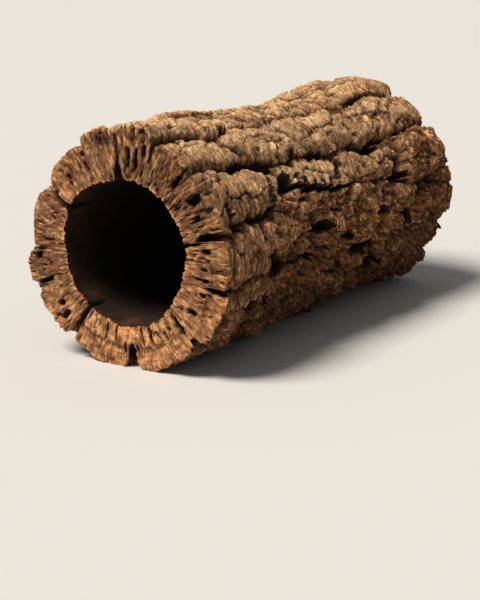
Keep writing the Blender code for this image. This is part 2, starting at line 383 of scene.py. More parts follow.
class Columns:
    """The grid's columns: the stave that each is on, its share of the stave's width, and its angle."""

    def __init__(self):
        staves, shares = [], []
        for k in range(STAVES):
            ahead = FISSURE_PATHS[(k + 1) % STAVES]
            turn = 360 if k == STAVES - 1 else 0
            width = math.radians(np.mean(ahead) + turn - np.mean(FISSURE_PATHS[k])) * BARK_RADIUS
            count = round(width / COLUMN_SPACING)
            staves += [k] * count
            shares += [i / count for i in range(count)]
        self.stave = np.array(staves)
        self.share = np.array(shares)
        self.count = len(staves)

    def edges(self, along):
        """Angles of the fissures before and after each column, at these distances from the front end."""
        paths = np.array([fissure_angle(k, along) for k in range(STAVES)])
        after = np.roll(paths, -1, axis=0)
        after[-1] += math.tau
        return paths[self.stave], after[self.stave]

    def angles(self, along):
        """The angle of each column, at these distances from the front end."""
        start, end = self.edges(along)
        return mixed_by(self.share[:, None], start, end)


# Fine relief of the bark, in metres
TILE_SIZE = 0.0185
TILE_CRACK_WIDTH = 0.11
TILE_ROUNDING = 0.0014
NODULE_SIZE = 0.0105
NODULE_CREASE = 0.0022
NODULE_CREASE_WIDTH = 0.16
ONION_HEIGHT = 0.00035
ONION_SPACING = 0.0024
PLEAT_SPACING = (0.0032, 0.0062)
# A lump's number is its stave's times LUMP_NUMBERS plus its own place on it. Each plate has a number too.
LUMP_NUMBERS = 100
PLATE_NUMBERS = 4096
KNOB_STEPS = 4096
CHOSEN_SPACINGS = {0: 0.0054, 1: 0.0054, 2: 0.0050, 1100: 0.0050, 1101: 0.0050}
FINE_RIB_CUT = 0.0030
PLEAT_LIFT = (-0.0015, 0.0008)
PLEAT_CUT_LEAST = 0.0014
PLEAT_CUT_SHARE = 0.24
PLEAT_BEND = 0.0045
PLEAT_LEAN = 0.0008
RIB_CALM = 0.45
# How far the pleats reach up a stave's two sides, by stave and side where the photo shows long ones
PLEAT_REACHES = ((0.0075, 0.0150), (0.0030, 0.0070))
LONG_REACHES = {(0, 0): 0.022, (11, 1): 0.018, (11, 0): 0.016, (1, 0): 0.009}
CALM_STAVES = (1, 2, 3, 4, 5)
LONG_RIBS_END = 0.075
LUMPY_SIZE = 0.0085
FLAKE_SIZE = 0.0095
FLAKES = 2.6
SHINGLE_STEP = 0.0013
SHINGLE_LENGTH = 0.0150
DASH_LENGTH = 0.0085
EDGE_JITTER = (-0.0008, 0.0030)
MISSING_SHARE = 0.13
MISSING_DEPTH = 0.0040
PIT_SIZE = 0.0085
PIT_SHARE = 0.34
POCKET_SIZE = 0.0150
POCKET_SHARE = 0.32
POCKET_DEPTH = 0.0080
STRIP_HEIGHT = 0.0020
STRIP_SIZE = 0.0165
STRIP_SHARE = 0.38
STRIP_DEPTH = 0.0060
SHOULDER_FALL = 0.0050
SHOULDER_WIDTH = 0.0042
STEEPNESS = 2.2
CALM_END = 0.006
# Soft waves over the bark: height, size, how much the size is squeezed along the branch, and seed
WAVES = {
    "fine gap edge": (0.0010, 0.0035, 1.0, 11),
    "gap edge": (0.0016, 0.011, 1.0, 12),
    "fading gaps": (1.3, 0.020, 1.0, 13),
    "bent rows": (1.0, 0.034, 1.0, 14),
    "shingles": (0.9, 0.019, 1.0, 28),
    "tile edge": (0.05, 0.0028, 1.0, 34),
    "creases": (1.3, 0.0080, 1.0, 39),
    "pleat warp": (0.0016, 0.011, 1.0, 44),
    "fine pleat warp": (0.0005, 0.004, 1.0, 45),
    "plate strips": (1.0, 0.0110, 0.21, 46),
    "fine plate strips": (0.6, 0.0060, 0.22, 47),
    "fine plate edge": (0.0007, 0.002, 1.0, 52),
    "plate edge": (0.0022, 0.007, 1.0, 53),
    "grain": (1.0, 0.0012, 1.0, 79),
    "openness": (1.0, 0.016, 1.0, 81),
    "fissure depth": (0.35, 0.009, 1.0, 82),
}
# Irregular cells over the bark: size, squeeze and seed, and the height, size and seed of what bends them
CELLS = {
    "tiles": (TILE_SIZE, 1.2, 31, 0.24, 0.017, 20),
    "nodules": (NODULE_SIZE, 0.95, 36, 0.30, 0.012, 24),
    "pits": (PIT_SIZE, 0.55, 61),
    "pockets": (POCKET_SIZE, 0.7, 66, 0.22, 0.0035, 64),
    "strips": (STRIP_SIZE, 0.27, 68, 0.22, 0.0035, 64),
}

# Single features of the bark. Slits: angle in degrees, then distance along, half length round the branch,
# half width along it, depth and slant, in millimetres. Knuckles: angle, distance along, radius and height.
SLITS = (
    (34, 73, 9.5, 3.0, 11, 0.10),
    (31, 90, 5.0, 3.0, 11, 0.0),
    (27, 95, 1.8, 8.0, 10, 0.0),
    (24, 112, 2.0, 11.0, 10, 0.0),
    (22, 128, 1.8, 10.0, 9, 0.0),
    (20, 146, 1.6, 10.0, 8, 0.0),
    (29, 101, 5.0, 2.0, 9, 0.25),
    (28, 110, 4.6, 1.7, 8, 0.15),
    (27, 119, 5.2, 2.3, 9, 0.25),
    (25, 129, 4.2, 1.7, 8, 0.10),
    (24, 138, 5.2, 2.1, 9, 0.20),
    (26, 150, 5.8, 2.4, 9, 0.10),
    (34, 158, 6.0, 1.8, 8, 0.10),
    (46, 50, 2.4, 9.0, 8, 0.0),
    (44, 68, 3.0, 7.0, 9, 0.0),
    (40, 135, 2.8, 9.0, 8, 0.0),
    (39, 190, 2.8, 10.0, 8, 0.0),
    (36, 214, 2.2, 8.0, 7, 0.0),
    (3, 122, 3.2, 6.0, 9, 0.0),
    (-8, 65, 6.0, 7.0, 9, 0.0),
    (-17, 182, 4.5, 10.0, 10, 0.0),
    (-10, 245, 5.0, 6.0, 9, 0.0),
    (-18, 258, 4.5, 5.0, 8, 0.0),
    (-30, 200, 4.0, 9.0, 8, 0.0),
    (-5, 150, 3.0, 4.0, 8, 0.0),
    (2, 196, 3.0, 6.0, 8, 0.0),
    (-22, 140, 3.5, 6.0, 9, 0.0),
    (16, 232, 2.6, 6.0, 7, 0.0),
    (69, 165, 1.8, 7.0, 5, 0.0),
    (69, 230, 1.8, 7.0, 5, 0.0),
    (76, 58, 4.0, 1.3, 4, 0.1),
    (84, 86, 3.5, 1.2, 4, -0.1),
    (79, 122, 4.5, 1.2, 4, 0.1),
    (10, 51, 1.5, 1.8, 3, 0.0),
    (38, 15, 1.8, 2.0, 4, 0.0),
    (42, 20, 2.0, 1.6, 4, 0.0),
    (33, 19, 1.6, 2.2, 4, 0.0),
    (-24, 30, 6.0, 1.4, 7, 0.1),
    (-26, 44, 7.0, 1.6, 8, 0.1),
    (-24, 58, 6.0, 1.4, 7, 0.1),
)
SLIT_TAPER = 0.4
KNUCKLE_CREASE = 0.0030
KNUCKLES = (
    (11, 50, 7.0, 3.2),
    (13, 72, 9.5, 3.6),
    (-4, 96, 8.0, 2.6),
    (14, 99, 6.5, 1.8),
    (2, 138, 9.0, 2.6),
    (-14, 122, 7.5, 2.2),
    (-27, 98, 8.0, 2.0),
    (13, 168, 9.0, 2.8),
    (-6, 204, 10.0, 2.8),
    (7, 232, 8.5, 2.6),
    (-21, 224, 8.0, 2.2),
    (14, 282, 9.5, 2.4),
    (-32, 152, 8.0, 2.0),
    (-3, 262, 8.0, 2.2),
)

# Where the bark is at its most broken: angle in degrees, share of the length, reach in degrees and metres
BROKEN_PLACES = (
    (-22, 0.60, 36, 0.105),
    (2, 0.92, 40, 0.060),
    (-38, 0.25, 22, 0.060),
    (200, 0.65, 60, 0.080),
    (150, 0.20, 25, 0.045),
    (285, 0.80, 30, 0.060),
)
LEAST_BROKEN = 0.10
# The side seen from SEEN_FROM keeps its rows; round the back they bend, and the gaps fade in places
SEEN_FROM = math.radians(45)
UNSEEN = 0.35
ROW_BEND = 0.045
ROW_BEND_FROM = 0.030
# Where the bark has kept its warm colour: angle in degrees, share of the length, reach in degrees and metres
WARM_PLACES = ((33, 0.88, 13, 0.036), (14, 0.38, 11, 0.040), (-2, 0.60, 24, 0.080), (40, 0.99, 60, 0.014))
# How open each fissure is, at equal steps along the branch, and then right at the front sawn end
OPENNESS = np.array((
    (0.55, 0.40, 0.03, 0.06, 0.15, 0.30),
    (0.40, 0.65, 0.30, 0.45, 0.35, 0.35),
    (0.55, 0.35, 0.08, 0.05, 0.12, 0.35),
    (0.40, 0.02, 0.02, 0.05, 0.10, 0.25),
    (0.35, 0.20, 0.12, 0.25, 0.15, 0.30),
    (0.50, 0.30, 0.40, 0.15, 0.35, 0.35),
    (0.35, 0.45, 0.20, 0.45, 0.20, 0.40),
    (0.45, 0.20, 0.40, 0.25, 0.50, 0.35),
    (0.60, 0.40, 0.20, 0.40, 0.25, 0.45),
    (0.70, 0.30, 0.40, 0.20, 0.40, 0.30),
    (0.45, 0.40, 0.18, 0.35, 0.18, 0.40),
    (0.45, 0.35, 0.15, 0.25, 0.12, 0.30),
))
FRONT_OPENNESS = np.array((0.8, 0.4, 0.6, 0.6, 0.4, 0.6, 0.35, 0.5, 0.8, 1.4, 0.5, 0.6))


def soft_places(angle, along, table, least=0.0):
    """1 at the middles of the places in the table, falling softly to the least value away from them."""
    total = np.full(np.broadcast(angle, along).shape, least)
    for middle, share, round_reach, along_reach in table:
        turn = turn_from(angle, middle) / math.radians(round_reach)
        run = (along - share * LENGTH) / along_reach
        total = total + np.exp(-(turn**2) - run**2)
    return np.minimum(total, 1.0)


def single_features(angle, along):
    """Heights of the slits and knuckles, how far inside a knuckle each point is, and a mask of painted shade
    in the slits and the knuckles' creases.
    """
    height = np.zeros(np.broadcast(angle, along).shape)
    inside, dark = height.copy(), height.copy()
    wobble = 0.35 * noise(angle * 22, along / 0.0032, 0 * angle, seed=15)
    for middle, distance, round_half, along_half, depth, slant in SLITS:
        turn = turn_from(angle, middle) * BARK_RADIUS * 1000
        taper = np.clip(1 - SLIT_TAPER * turn / round_half, 0.4, 1.6)
        run = (along * 1000 - distance - slant * turn) / (along_half * taper)
        away = np.sqrt((turn / round_half) ** 2 + run**2) + wobble
        height = np.minimum(height, -depth / 1000 * ramp((1.25 - away) / 0.4))
        # Painted shade inside each slit, the deeper the darker
        dark = np.maximum(dark, ramp((1.5 - away) / 0.3) * min(1.0, depth / 6))
    for middle, distance, reach, rise in KNUCKLES:
        turn = turn_from(angle, middle) * BARK_RADIUS * 1000
        away = np.hypot(turn, along * 1000 - distance) / reach + 0.5 * wobble
        crease = np.exp(-(((away - 1.08) / 0.13) ** 2))
        cap = rise / 1000 * np.maximum(1 - away**2, 0) - KNUCKLE_CREASE * crease
        height = np.where(away < 1.5, height + cap, height)
        # Painted shadow in each knuckle's crease, on one side of the knuckle only
        dark = np.maximum(dark, 0.8 * ramp((crease - 0.3) / 0.5) * ramp(0.5 + turn / reach))
        inside = np.maximum(inside, 1 - away)
    return height, inside, dark


class BarkGrid:
    """The grid's points on the bark, with the patterns that the bark's relief and colours share."""

    def __init__(self, columns, rows):
        start, end = columns.edges(rows)
        self.rows = rows
        self.share = columns.share[:, None] + 0 * rows
        self.stave = columns.stave[:, None] + np.zeros(len(rows), np.int64)
        self.angle = mixed_by(self.share, start, end)
        self.width = (end - start) * BARK_RADIUS
        self.along = rows + 0 * self.share
        self.place = BARK_RADIUS * np.cos(self.angle), self.along, BARK_RADIUS * np.sin(self.angle)
        self.calm_stave = np.isin(self.stave, CALM_STAVES)
        self.broken = soft_places(self.angle, self.along, BROKEN_PLACES, LEAST_BROKEN)
        self.warm = soft_places(self.angle, self.along, WARM_PLACES)
        self.unseen = ramp((UNSEEN - np.cos(self.angle - SEEN_FROM)) / 0.5)
        self.shifted = self.along + GAP_WAVE * np.sin(
            math.tau * self.share * GAP_WAVE_TURNS + GAP_WAVE_STEP * self.stave
        )
        self.lump = (self.shifted[..., None] > LUMPS["gaps"][self.stave]).sum(-1)
        self.number = self.stave * LUMP_NUMBERS + self.lump
        self.side = np.where(self.share < 0.5, 0, 1)
        self.near, self.far, self.knob = self.bent_cells("nodules")
        self.pleat = self.count_plates()
        self.plate = np.floor(self.pleat).astype(np.int64) * PLATE_NUMBERS + self.number
        self.nearest = self.from_fissure()
        self.flank, self.ribbed = self.find_flanks()

    def spread(self, size, squeeze=1.0):
        """The points' places in units of this size, which is squeezed along the branch."""
        return self.place[0] / size, self.place[1] / (size * squeeze), self.place[2] / size

    def waves(self, name):
        """The soft waves of this name at each point."""
        height, size, squeeze, seed = WAVES[name]
        return height * noise(*self.spread(size, squeeze), seed=seed)

    def bent_cells(self, name):
        """The irregular cells of this name, with their places bent by soft waves."""
        size, squeeze, seed, *bend = CELLS[name]
        place = self.spread(size, squeeze)
        if bend:
            height, bend_size, bend_seed = bend
            bends = [height * noise(*self.spread(bend_size), seed=bend_seed + axis) for axis in range(3)]
            place = [v + b for v, b in zip(place, bends)]
        return cells(*place, seed=seed)

    def count_plates(self):
        """The bark as a stack of plates across the branch: a number that grows by one from plate to plate."""
        spacing = mixed_by(scatter(self.number, seed=41), *PLEAT_SPACING)
        for chosen, wide in CHOSEN_SPACINGS.items():
            spacing = np.where(self.number == chosen, wide, spacing)
        arc = PLEAT_BEND * (2 * scatter(self.number, seed=42) - 1.2) * (2 * self.share - 1) ** 2
        slant = (scatter(self.number, seed=43) - 0.5) * 0.35 + self.broken * (self.knob - 0.5) * 1.2
        warp = self.waves("pleat warp") + self.waves("fine pleat warp")
        bent = self.along + arc + slant * (self.share - 0.5) * self.width + warp
        return bent / spacing + 3.0 * (self.knob > 0.5) * (self.broken > 0.55)

    def from_fissure(self):
        """Distance from the nearest fissure, with edges that jut out or stay back from plate to plate."""
        jitter = mixed_by(scatter(self.plate, self.side, seed=51) ** 1.4, *EDGE_JITTER)
        inward = np.minimum(self.share, 1 - self.share) * self.width
        return inward - jitter - self.waves("fine plate edge") + self.waves("plate edge")

    def find_flanks(self):
        """The pleated flanks, from 1 at a fissure to 0 on the crown, and where the ribs are finest."""
        least, most = (np.take(reaches, self.side) for reaches in zip(*PLEAT_REACHES))
        reach = mixed_by(scatter(self.number, self.side, seed=57), least, most)
        reach = np.where(self.calm_stave, 0.55, 1.0) * reach
        off_crown = ramp(np.abs(self.share - 0.5) / 0.15)
        ribbed = np.zeros_like(reach)
        for (k, on_side), long_reach in LONG_REACHES.items():
            here = (self.stave == k) & (self.side == on_side) & (self.along < LONG_RIBS_END)
            reach = np.where(here, long_reach, reach)
            ribbed = np.where(here, (1.0 - self.broken) * off_crown, ribbed)
        flank = np.exp(-((np.maximum(self.nearest, 0) / reach) ** 1.5)) * off_crown
        return flank, ribbed


def lump_heights(bark):
    """Heights of the lumps, with the cross gaps between them. On the hidden side the gaps fade in places."""
    ragged = bark.waves("fine gap edge") + bark.waves("gap edge")
    fading = mixed_by(bark.unseen, 1.0, ramp(0.55 + bark.waves("fading gaps")))
    height = LUMPS["heights"][bark.stave, bark.lump]
    height = height + FRONT_HEIGHTS[bark.stave] * np.exp(-((bark.along / FRONT_HEIGHT_REACH) ** 2))
    for i in range(MOST_LUMPS):
        gap, depth, slant = (LUMPS[name][bark.stave, i] for name in ("gaps", "depths", "slants"))
        off = np.abs(bark.shifted + ragged - gap - slant * (bark.share - 0.5))
        groove = (1 - ramp((off - 0.0004) / (0.75 * GAP_HALF_WIDTH))) * fading
        height = height * (1 - groove) - depth * groove
        height = height - 0.5 * SHOULDER_FALL * fading * np.exp(-((off / SHOULDER_WIDTH) ** STEEPNESS))
    return height


def crust_tiles(bark, relief):
    """Heights of the tiles of crust, with cracks between them, and a random number for each tile."""
    near, far, pick = bark.bent_cells("tiles")
    border = far - near + bark.waves("tile edge")
    crack = 1 - ramp(border / TILE_CRACK_WIDTH)
    ease = np.where(bark.calm_stave, 0.4, 0.8)
    height = relief.tile_step * (pick - 0.5) * mixed_by(bark.broken, ease, 1.0)
    height = height - relief.crack_depth * crack * mixed_by(bark.broken, 0.6 * ease, 1.0)
    height = height - TILE_ROUNDING * np.exp(-np.maximum(border, 0) / 0.12) * mixed_by(bark.broken, ease, 1.0)
    shingle = bark.along / SHINGLE_LENGTH + bark.waves("shingles") + 0.37 * bark.stave
    step = SHINGLE_STEP * (0.5 - shingle % 1.0) * (1 - bark.broken) * np.where(bark.calm_stave, 0.6, 1.0)
    return height + step, pick


def nodules(bark, relief):
    """Heights of the nodules that the bark falls into where it is broken."""
    crease = (1 - ramp((bark.far - bark.near) / NODULE_CREASE_WIDTH)) * ramp(0.5 + bark.waves("creases"))
    onion = np.sin(math.tau * bark.near * NODULE_SIZE / ONION_SPACING) * ONION_HEIGHT
    height = relief.nodule_step * (bark.knob - 0.55 - 0.5 * bark.near**2) - NODULE_CREASE * crease + onion
    return height * ramp((bark.broken - 0.15) / 0.6)


def plate_heights(bark, relief):
    """Heights of the plates: each lifted by its own amount, cut at its edges, and missing here and there."""
    within = bark.pleat - np.floor(bark.pleat)
    on_crown = np.where(bark.calm_stave, 0.0, 0.10) + 0.12 * scatter(bark.number, seed=58) ** 3
    on_crown = on_crown + 0.40 * bark.broken
    on_flank = np.where(bark.calm_stave, mixed_by(ramp(bark.along / 0.080), 0.45, 0.9), 1.0)
    strength = np.maximum(bark.flank * on_flank, on_crown)
    x, _, z = bark.spread(DASH_LENGTH)
    dash = ramp(0.45 + 1.5 * noise(x, bark.plate * 0.713, z, seed=59))
    dash = mixed_by(bark.flank * (1 - bark.broken), dash, 1.0)
    cut = 1 - ramp(np.minimum(within, 1 - within) / PLEAT_CUT_SHARE)
    lift = mixed_by(scatter(bark.plate, seed=54), *PLEAT_LIFT)
    lift = lift * np.where(bark.calm_stave, 0.5, 1.0) * (1 - 0.75 * bark.ribbed)
    missing = scatter(bark.plate, bark.side, seed=55) < MISSING_SHARE * (1 - bark.ribbed)
    gone = missing * ramp((bark.flank - 0.25) / 0.2) * MISSING_DEPTH
    groove_depth = mixed_by(scatter(bark.plate, seed=56), PLEAT_CUT_LEAST, relief.pleat_cut)
    groove_depth = mixed_by(bark.ribbed, groove_depth, FINE_RIB_CUT)
    return strength * (lift * dash - groove_depth * cut * dash - PLEAT_LEAN * (within - 0.5)) - gone


def worn_holes(bark):
    """Where the pits, the pockets and the hollows beside hanging strips are, each from 0 to 1."""
    hole, _, chance = bark.bent_cells("pits")
    pit = (chance < PIT_SHARE) * ramp((0.38 - hole) / 0.14) * (0.4 + 0.6 * chance / PIT_SHARE)
    pit = pit * (1 - 0.5 * bark.broken)
    hole, _, chance = bark.bent_cells("pockets")
    pocket = (chance < POCKET_SHARE * mixed_by(bark.broken, 0.25, 1.0)) * ramp((0.33 - hole) / 0.10)
    hole, _, chance = bark.bent_cells("strips")
    likely = STRIP_SHARE * ramp((bark.broken - 0.3) / 0.4) * (1 - 0.7 * bark.warm)
    hanging = (chance < likely) * ramp((0.36 - hole) / 0.12)
    return pit, pocket, hanging


def fine_surface(bark, relief, pit, pocket, hanging):
    """Heights of the soft lumps, grain, thin flakes and standing plate edges, and of the worn holes."""
    lumpy = rough(*bark.spread(LUMPY_SIZE), seed=74, octaves=4)
    layers = FLAKES * rough(*bark.spread(FLAKE_SIZE, 0.7), seed=84, octaves=4)
    flakes = np.floor(layers) + ramp((layers - np.floor(layers) - 0.3) / 0.3)
    edges = bark.waves("plate strips") + bark.waves("fine plate strips")
    edges = STRIP_HEIGHT * (1 - 2.2 * np.abs(edges)) * (0.15 + 0.85 * bark.broken)
    height = relief.lump_height * lumpy * mixed_by(bark.broken, np.where(bark.calm_stave, 0.3, 0.7), 1.0)
    height = height + relief.grain_height * bark.waves("grain")
    height = height + relief.flake_step * flakes * np.where(bark.calm_stave, 0.75, 1.0)
    return height - relief.pit_depth * pit - POCKET_DEPTH * pocket - STRIP_DEPTH * hanging + edges


def fissures(bark):
    """Where the fissures are, from 0 to 1, their depth, how open they are, and the bark's fall to them."""
    fissure = np.where(bark.share < 0.5, bark.stave, (bark.stave + 1) % STAVES)
    row = np.arange(len(bark.rows))
    steps = np.linspace(0, LENGTH, OPENNESS.shape[1])
    openness = np.array([np.interp(bark.rows, steps, values) for values in OPENNESS])[fissure, row]
    openness = openness * (1 + mixed_by(bark.unseen, 1.1, 1.7) * bark.waves("openness"))
    openness = np.clip(mixed_by(np.exp(-bark.along / 0.012), openness, FRONT_OPENNESS[fissure]), 0.04, 1.4)
    groove = 1 - ramp(bark.nearest / (FISSURE_HALF_WIDTH * openness))
    depth = np.array([fissure_depth(k, bark.rows) for k in range(STAVES)])[fissure, row]
    depth = depth * (0.85 + bark.waves("fissure depth")) * mixed_by(ramp(openness / 0.45), 0.25, 1.0)
    shoulder = SHOULDER_FALL * np.exp(-((np.maximum(bark.nearest, 0) / SHOULDER_WIDTH) ** STEEPNESS))
    shoulder = shoulder * mixed_by(bark.broken, 1.0, 0.6) * mixed_by(ramp(openness / 0.6), 0.22, 1.0)
    shoulder = shoulder * mixed_by(ramp(bark.along / 0.012), 0.6, 1.0)
    return groove, depth, openness, shoulder


def bark_masks(bark, radius, pick, inside, dark):
    """The masks for the bark's colours, from how far a point is in a knuckle and how much painted shade slits
    and splits give it.
    """
    # Painted shade in the hollows and deeper dips of the bark, and a painted highlight on its ridges
    hollow = blurred(radius, 5) - radius
    deep = blurred(radius, 16) - radius
    crevice = np.clip((hollow - 0.0004 - 0.0008 * bark.broken) / (0.0022 + 0.0010 * bark.broken), 0, 1)
    # The crowns' grey crust is weathering, but it is stronger on the upper, lit side: that part is painted
    # light
    lit_side = mixed_by(ramp((np.sin(bark.angle) + 0.1) / 0.5), 0.25, 1.0)
    low = ramp((-0.15 - np.sin(bark.angle)) / 0.4)
    crown = ramp((deep - 0.0006) / -0.0018) * (1 - mixed_by(bark.ribbed, 0.7, 0.95) * bark.flank)
    crown = crown * (1 - 0.85 * bark.broken) * lit_side * (1 - 0.8 * bark.warm)
    rings = bark.near * NODULE_SIZE / ONION_SPACING + 50 * bark.knob
    rings = np.where(inside > 0, (1 - inside) * 4.5, rings)
    tint = 0.5 * scatter(np.round(bark.knob * KNOB_STEPS), seed=92) * bark.broken
    # Painted shade: the tint falls on the bark's underside
    tint = tint + 0.5 * pick * (1 - bark.broken) + 0.25 + 0.6 * bark.warm - 0.25 * low
    return {
        "crevice": np.maximum(np.maximum(crevice, ramp((deep - 0.0014) / 0.0034)), dark),
        "ridge": np.clip(-hollow / 0.0010, 0, 1),
        "crown": crown,
        "pleat": np.where((inside > 0) | (bark.knob + 0.25 < bark.broken), rings, bark.pleat),
        "broken": bark.broken,
        "tint": tint,
    }


def bark_grid(columns, rows, relief):
    """Angle and radius of the bark on the whole grid, with its masks for colour."""
    bark = BarkGrid(columns, rows)
    tile, pick = crust_tiles(bark, relief)
    pit, pocket, hanging = worn_holes(bark)
    groove, depth, openness, shoulder = fissures(bark)
    singles, inside, slit_mask = single_features(bark.angle, bark.along)
    on_knuckle = ramp(inside / 0.2)
    smooth = 1 - mixed_by(bark.ribbed, RIB_CALM, 0.9) * bark.flank * (1 - bark.broken)
    calm = ramp((LENGTH - bark.along) / CALM_END) * ramp(0.25 + bark.along / CALM_END)
    nodule = nodules(bark, relief) * (1 - on_knuckle)
    pleats = plate_heights(bark, relief) * (1 - 0.8 * on_knuckle)
    fine = tile * smooth + nodule + pleats + fine_surface(bark, relief, pit, pocket, hanging) * smooth
    fine = fine * mixed_by(calm, 0.4, 1.0)
    height = (lump_heights(bark) + fine - shoulder) * (1 - groove) - depth * groove + singles
    radius = BARK_RADIUS + broad_form(bark.angle, bark.along) + height
    # Painted shade in the open fissures, the hollows beside hanging strips and the pits of calm bark
    split = ramp(groove / 0.5) * ramp((openness - 0.15) / 0.25)
    split = np.maximum(split, np.maximum(0.85 * hanging, 1.1 * pit * (1 - bark.broken)))
    masks = bark_masks(bark, radius, pick, inside, np.maximum(slit_mask, split))
    bend = ROW_BEND * bark.unseen * bark.waves("bent rows")
    bend = bend * ramp(bark.along / ROW_BEND_FROM) * ramp((LENGTH - bark.along) / ROW_BEND_FROM)
    return bark.angle + bend, radius, masks


def bore_grid(columns, along, notch_sets):
    """Angle and radius of the bore, nearly round and fibrous, and a mask of painted shade in its notches."""
    angle = columns.angles(along)
    along = along + 0 * angle
    radius = BORE_RADIUS - BORE_SHIFT * np.cos(angle)
    for rise, round_turns, along_turns, phase in BORE_RIPPLES:
        radius = radius + rise * np.sin(round_turns * angle + along_turns * along + phase)
    x, z = BORE_RADIUS * np.cos(angle), BORE_RADIUS * np.sin(angle)
    fibres = noise(x / 0.0035, along / 0.060, z / 0.0035, seed=101)
    swell = rough(x / 0.016, along / 0.030, z / 0.016, seed=102)
    radius = radius + 0.0004 * fibres + 0.0008 * swell
    dark = np.zeros_like(radius)
    for from_front, notches in notch_sets:
        inward = along if from_front else LENGTH - along
        teeth = noise(x / 0.0014, z / 0.0014, inward / 0.010, seed=104 + from_front)
        teeth = teeth + 0.8 * noise(x / 0.0040, z / 0.0040, inward / 0.020, seed=106 + from_front)
        radius = radius + 0.0009 * teeth * np.exp(-inward / 0.005)
        for middle, half, reach, run in notches:
            turn = np.abs(turn_from(angle, middle)) * BORE_RADIUS * 1000
            notch = np.clip(1 - turn / half, 0, 1) * np.exp(-inward * 1000 / run)
            radius = radius + reach / 1000 * notch
            dark = np.maximum(dark, ramp(notch / 0.15))
    return angle, radius, dark


def face_roughness(angle):
    """How rough the sawn cork is round the ends, from 0 in its calm blocks to 1."""
    total = np.full(np.shape(angle), 0.5)
    for middle, reach, change in ROUGH_SIDES:
        turn = turn_from(angle, middle) / math.radians(reach)
        total = total + change * np.exp(-(turn**2))
    return np.clip(total, 0.0, 1.0)


def cut_ledges(relief, dark, angle, radius, ledges, uneven):
    """Sets the layers outside each ledge back, with a dark line along its edge."""
    for middle, reach, distance, depth in ledges:
        turn = np.abs(turn_from(angle, middle)) / math.radians(reach)
        here = ramp((1 - turn) / 0.12)
        over = radius * 1000 - distance + uneven
        relief = relief + here * ramp(over / 0.8) * depth / 1000
        dark = np.maximum(dark, 0.8 * here * np.exp(-((over / 0.7) ** 2)))
    return relief, dark


def cut_slots(relief, dark, angle, radius, slots, seed):
    """Cuts the slots and holes, with painted shade inside them."""
    for middle, distance, half_width, half_length, depth in slots:
        turn = turn_from(angle, middle) * radius * 1000
        run = radius * 1000 - distance
        turn = turn + 0.45 * half_width * noise(radius / 0.0025, 0 * radius + middle, 0 * radius, seed=seed)
        away = np.sqrt((turn / half_width) ** 2 + (run / half_length) ** 4)
        slot = ramp((1.25 - away) / 0.45)
        relief = np.maximum(relief, slot * depth / 1000 + relief * (1 - slot))
        dark = np.maximum(dark, ramp((1.32 - away) / 0.3))
    return relief, dark


def roll_edge(angle, rim, rolls):
    """How far the bark rolls over the edge of the sawn end, at each distance from its rim."""
    rolled = np.zeros_like(rim)
    for middle, reach, depth, wide in rolls:
        turn = turn_from(angle, middle) / math.radians(reach)
        rolled = rolled + depth / 1000 * np.exp(-(turn**4)) * np.exp(-((rim * 1000 / wide) ** 1.3))
    return rolled


def sawn_relief(angle, radius, edge, slots, rolls, ledges, seed):
    """How far each point of the sawn end is let in, how dark it is with dark grain and painted shade in slots
    and holes, and how far the bark rolls in there.
    """

    def place_in(wide, long):
        """Places in units of a size round the axis and another along the radius."""
        return FACE_MIDDLE / wide * np.cos(angle), FACE_MIDDLE / wide * np.sin(angle), radius / long

    def waves(wide, long, step):
        """Soft waves of these sizes, each step with its own."""
        return noise(*place_in(wide, long), seed=seed + step)

    wander = 0.5 * waves(0.007, 0.007, 0)
    x, y, z = place_in(0.0013, 0.0052)
    streaks = noise(x + wander, y + wander, z, seed=seed + 1) + 0.6 * waves(0.0008, 0.0030, 2)
    soft = rough(*place_in(0.006, 0.006), seed=seed + 3)
    ragged = 0.35 * waves(0.0013, 0.0013, 11)
    near, _, chance = cells(*(v + ragged for v in place_in(0.0036, 0.0060)), seed=seed + 5)
    holes = (chance < 0.10) * ramp((0.42 - near) / 0.16) * (0.4 + 6.0 * chance)
    strong = face_roughness(angle)
    relief = 0.0005 * streaks * (0.5 + strong) + 0.0005 * soft
    relief = relief + 0.0006 * np.abs(waves(0.0060, 0.0300, 10)) + 0.0002 * waves(0.0007, 0.0009, 4)
    relief = relief + 0.0030 * holes + 0.0026 * strong * ramp((streaks - 0.45) / 0.25)
    ring = radius - RING_RADIUS - 0.0016 * waves(0.009, 9.0, 6)
    relief = relief + 0.0007 * ramp(ring / 0.0006 + 0.5) * ramp(0.5 + 2 * waves(0.016, 9.0, 7))
    slot_mask = np.zeros_like(relief)
    relief, slot_mask = cut_ledges(relief, slot_mask, angle, radius, ledges, 0.9 * waves(0.010, 9.0, 13))
    relief, slot_mask = cut_slots(relief, slot_mask, angle, radius, slots, seed + 8)
    rim = np.maximum(edge - radius, 0.0)
    chips = 0.8 * waves(0.0042, 0.02, 9) + 0.3 * waves(0.0015, 0.02, 12)
    relief = relief + 0.0016 * np.maximum(0.0, chips) * np.exp(-rim / 0.0014)
    rolled = roll_edge(angle, rim, rolls)
    relief = relief * (1 - 0.6 * ramp(rolled / 0.004)) + rolled * (1 + 0.2 * soft)
    relief = relief - relief.mean() * 0.4
    # Painted shade in the slots and holes, with the ledges' dark lines and the dark grain of the streaks
    dark = np.maximum(slot_mask, np.maximum(holes, (0.5 + 0.4 * strong) * ramp((streaks - 0.40) / 0.45)))
    return np.maximum(relief, 0.0), np.minimum(dark, 1.0), rolled


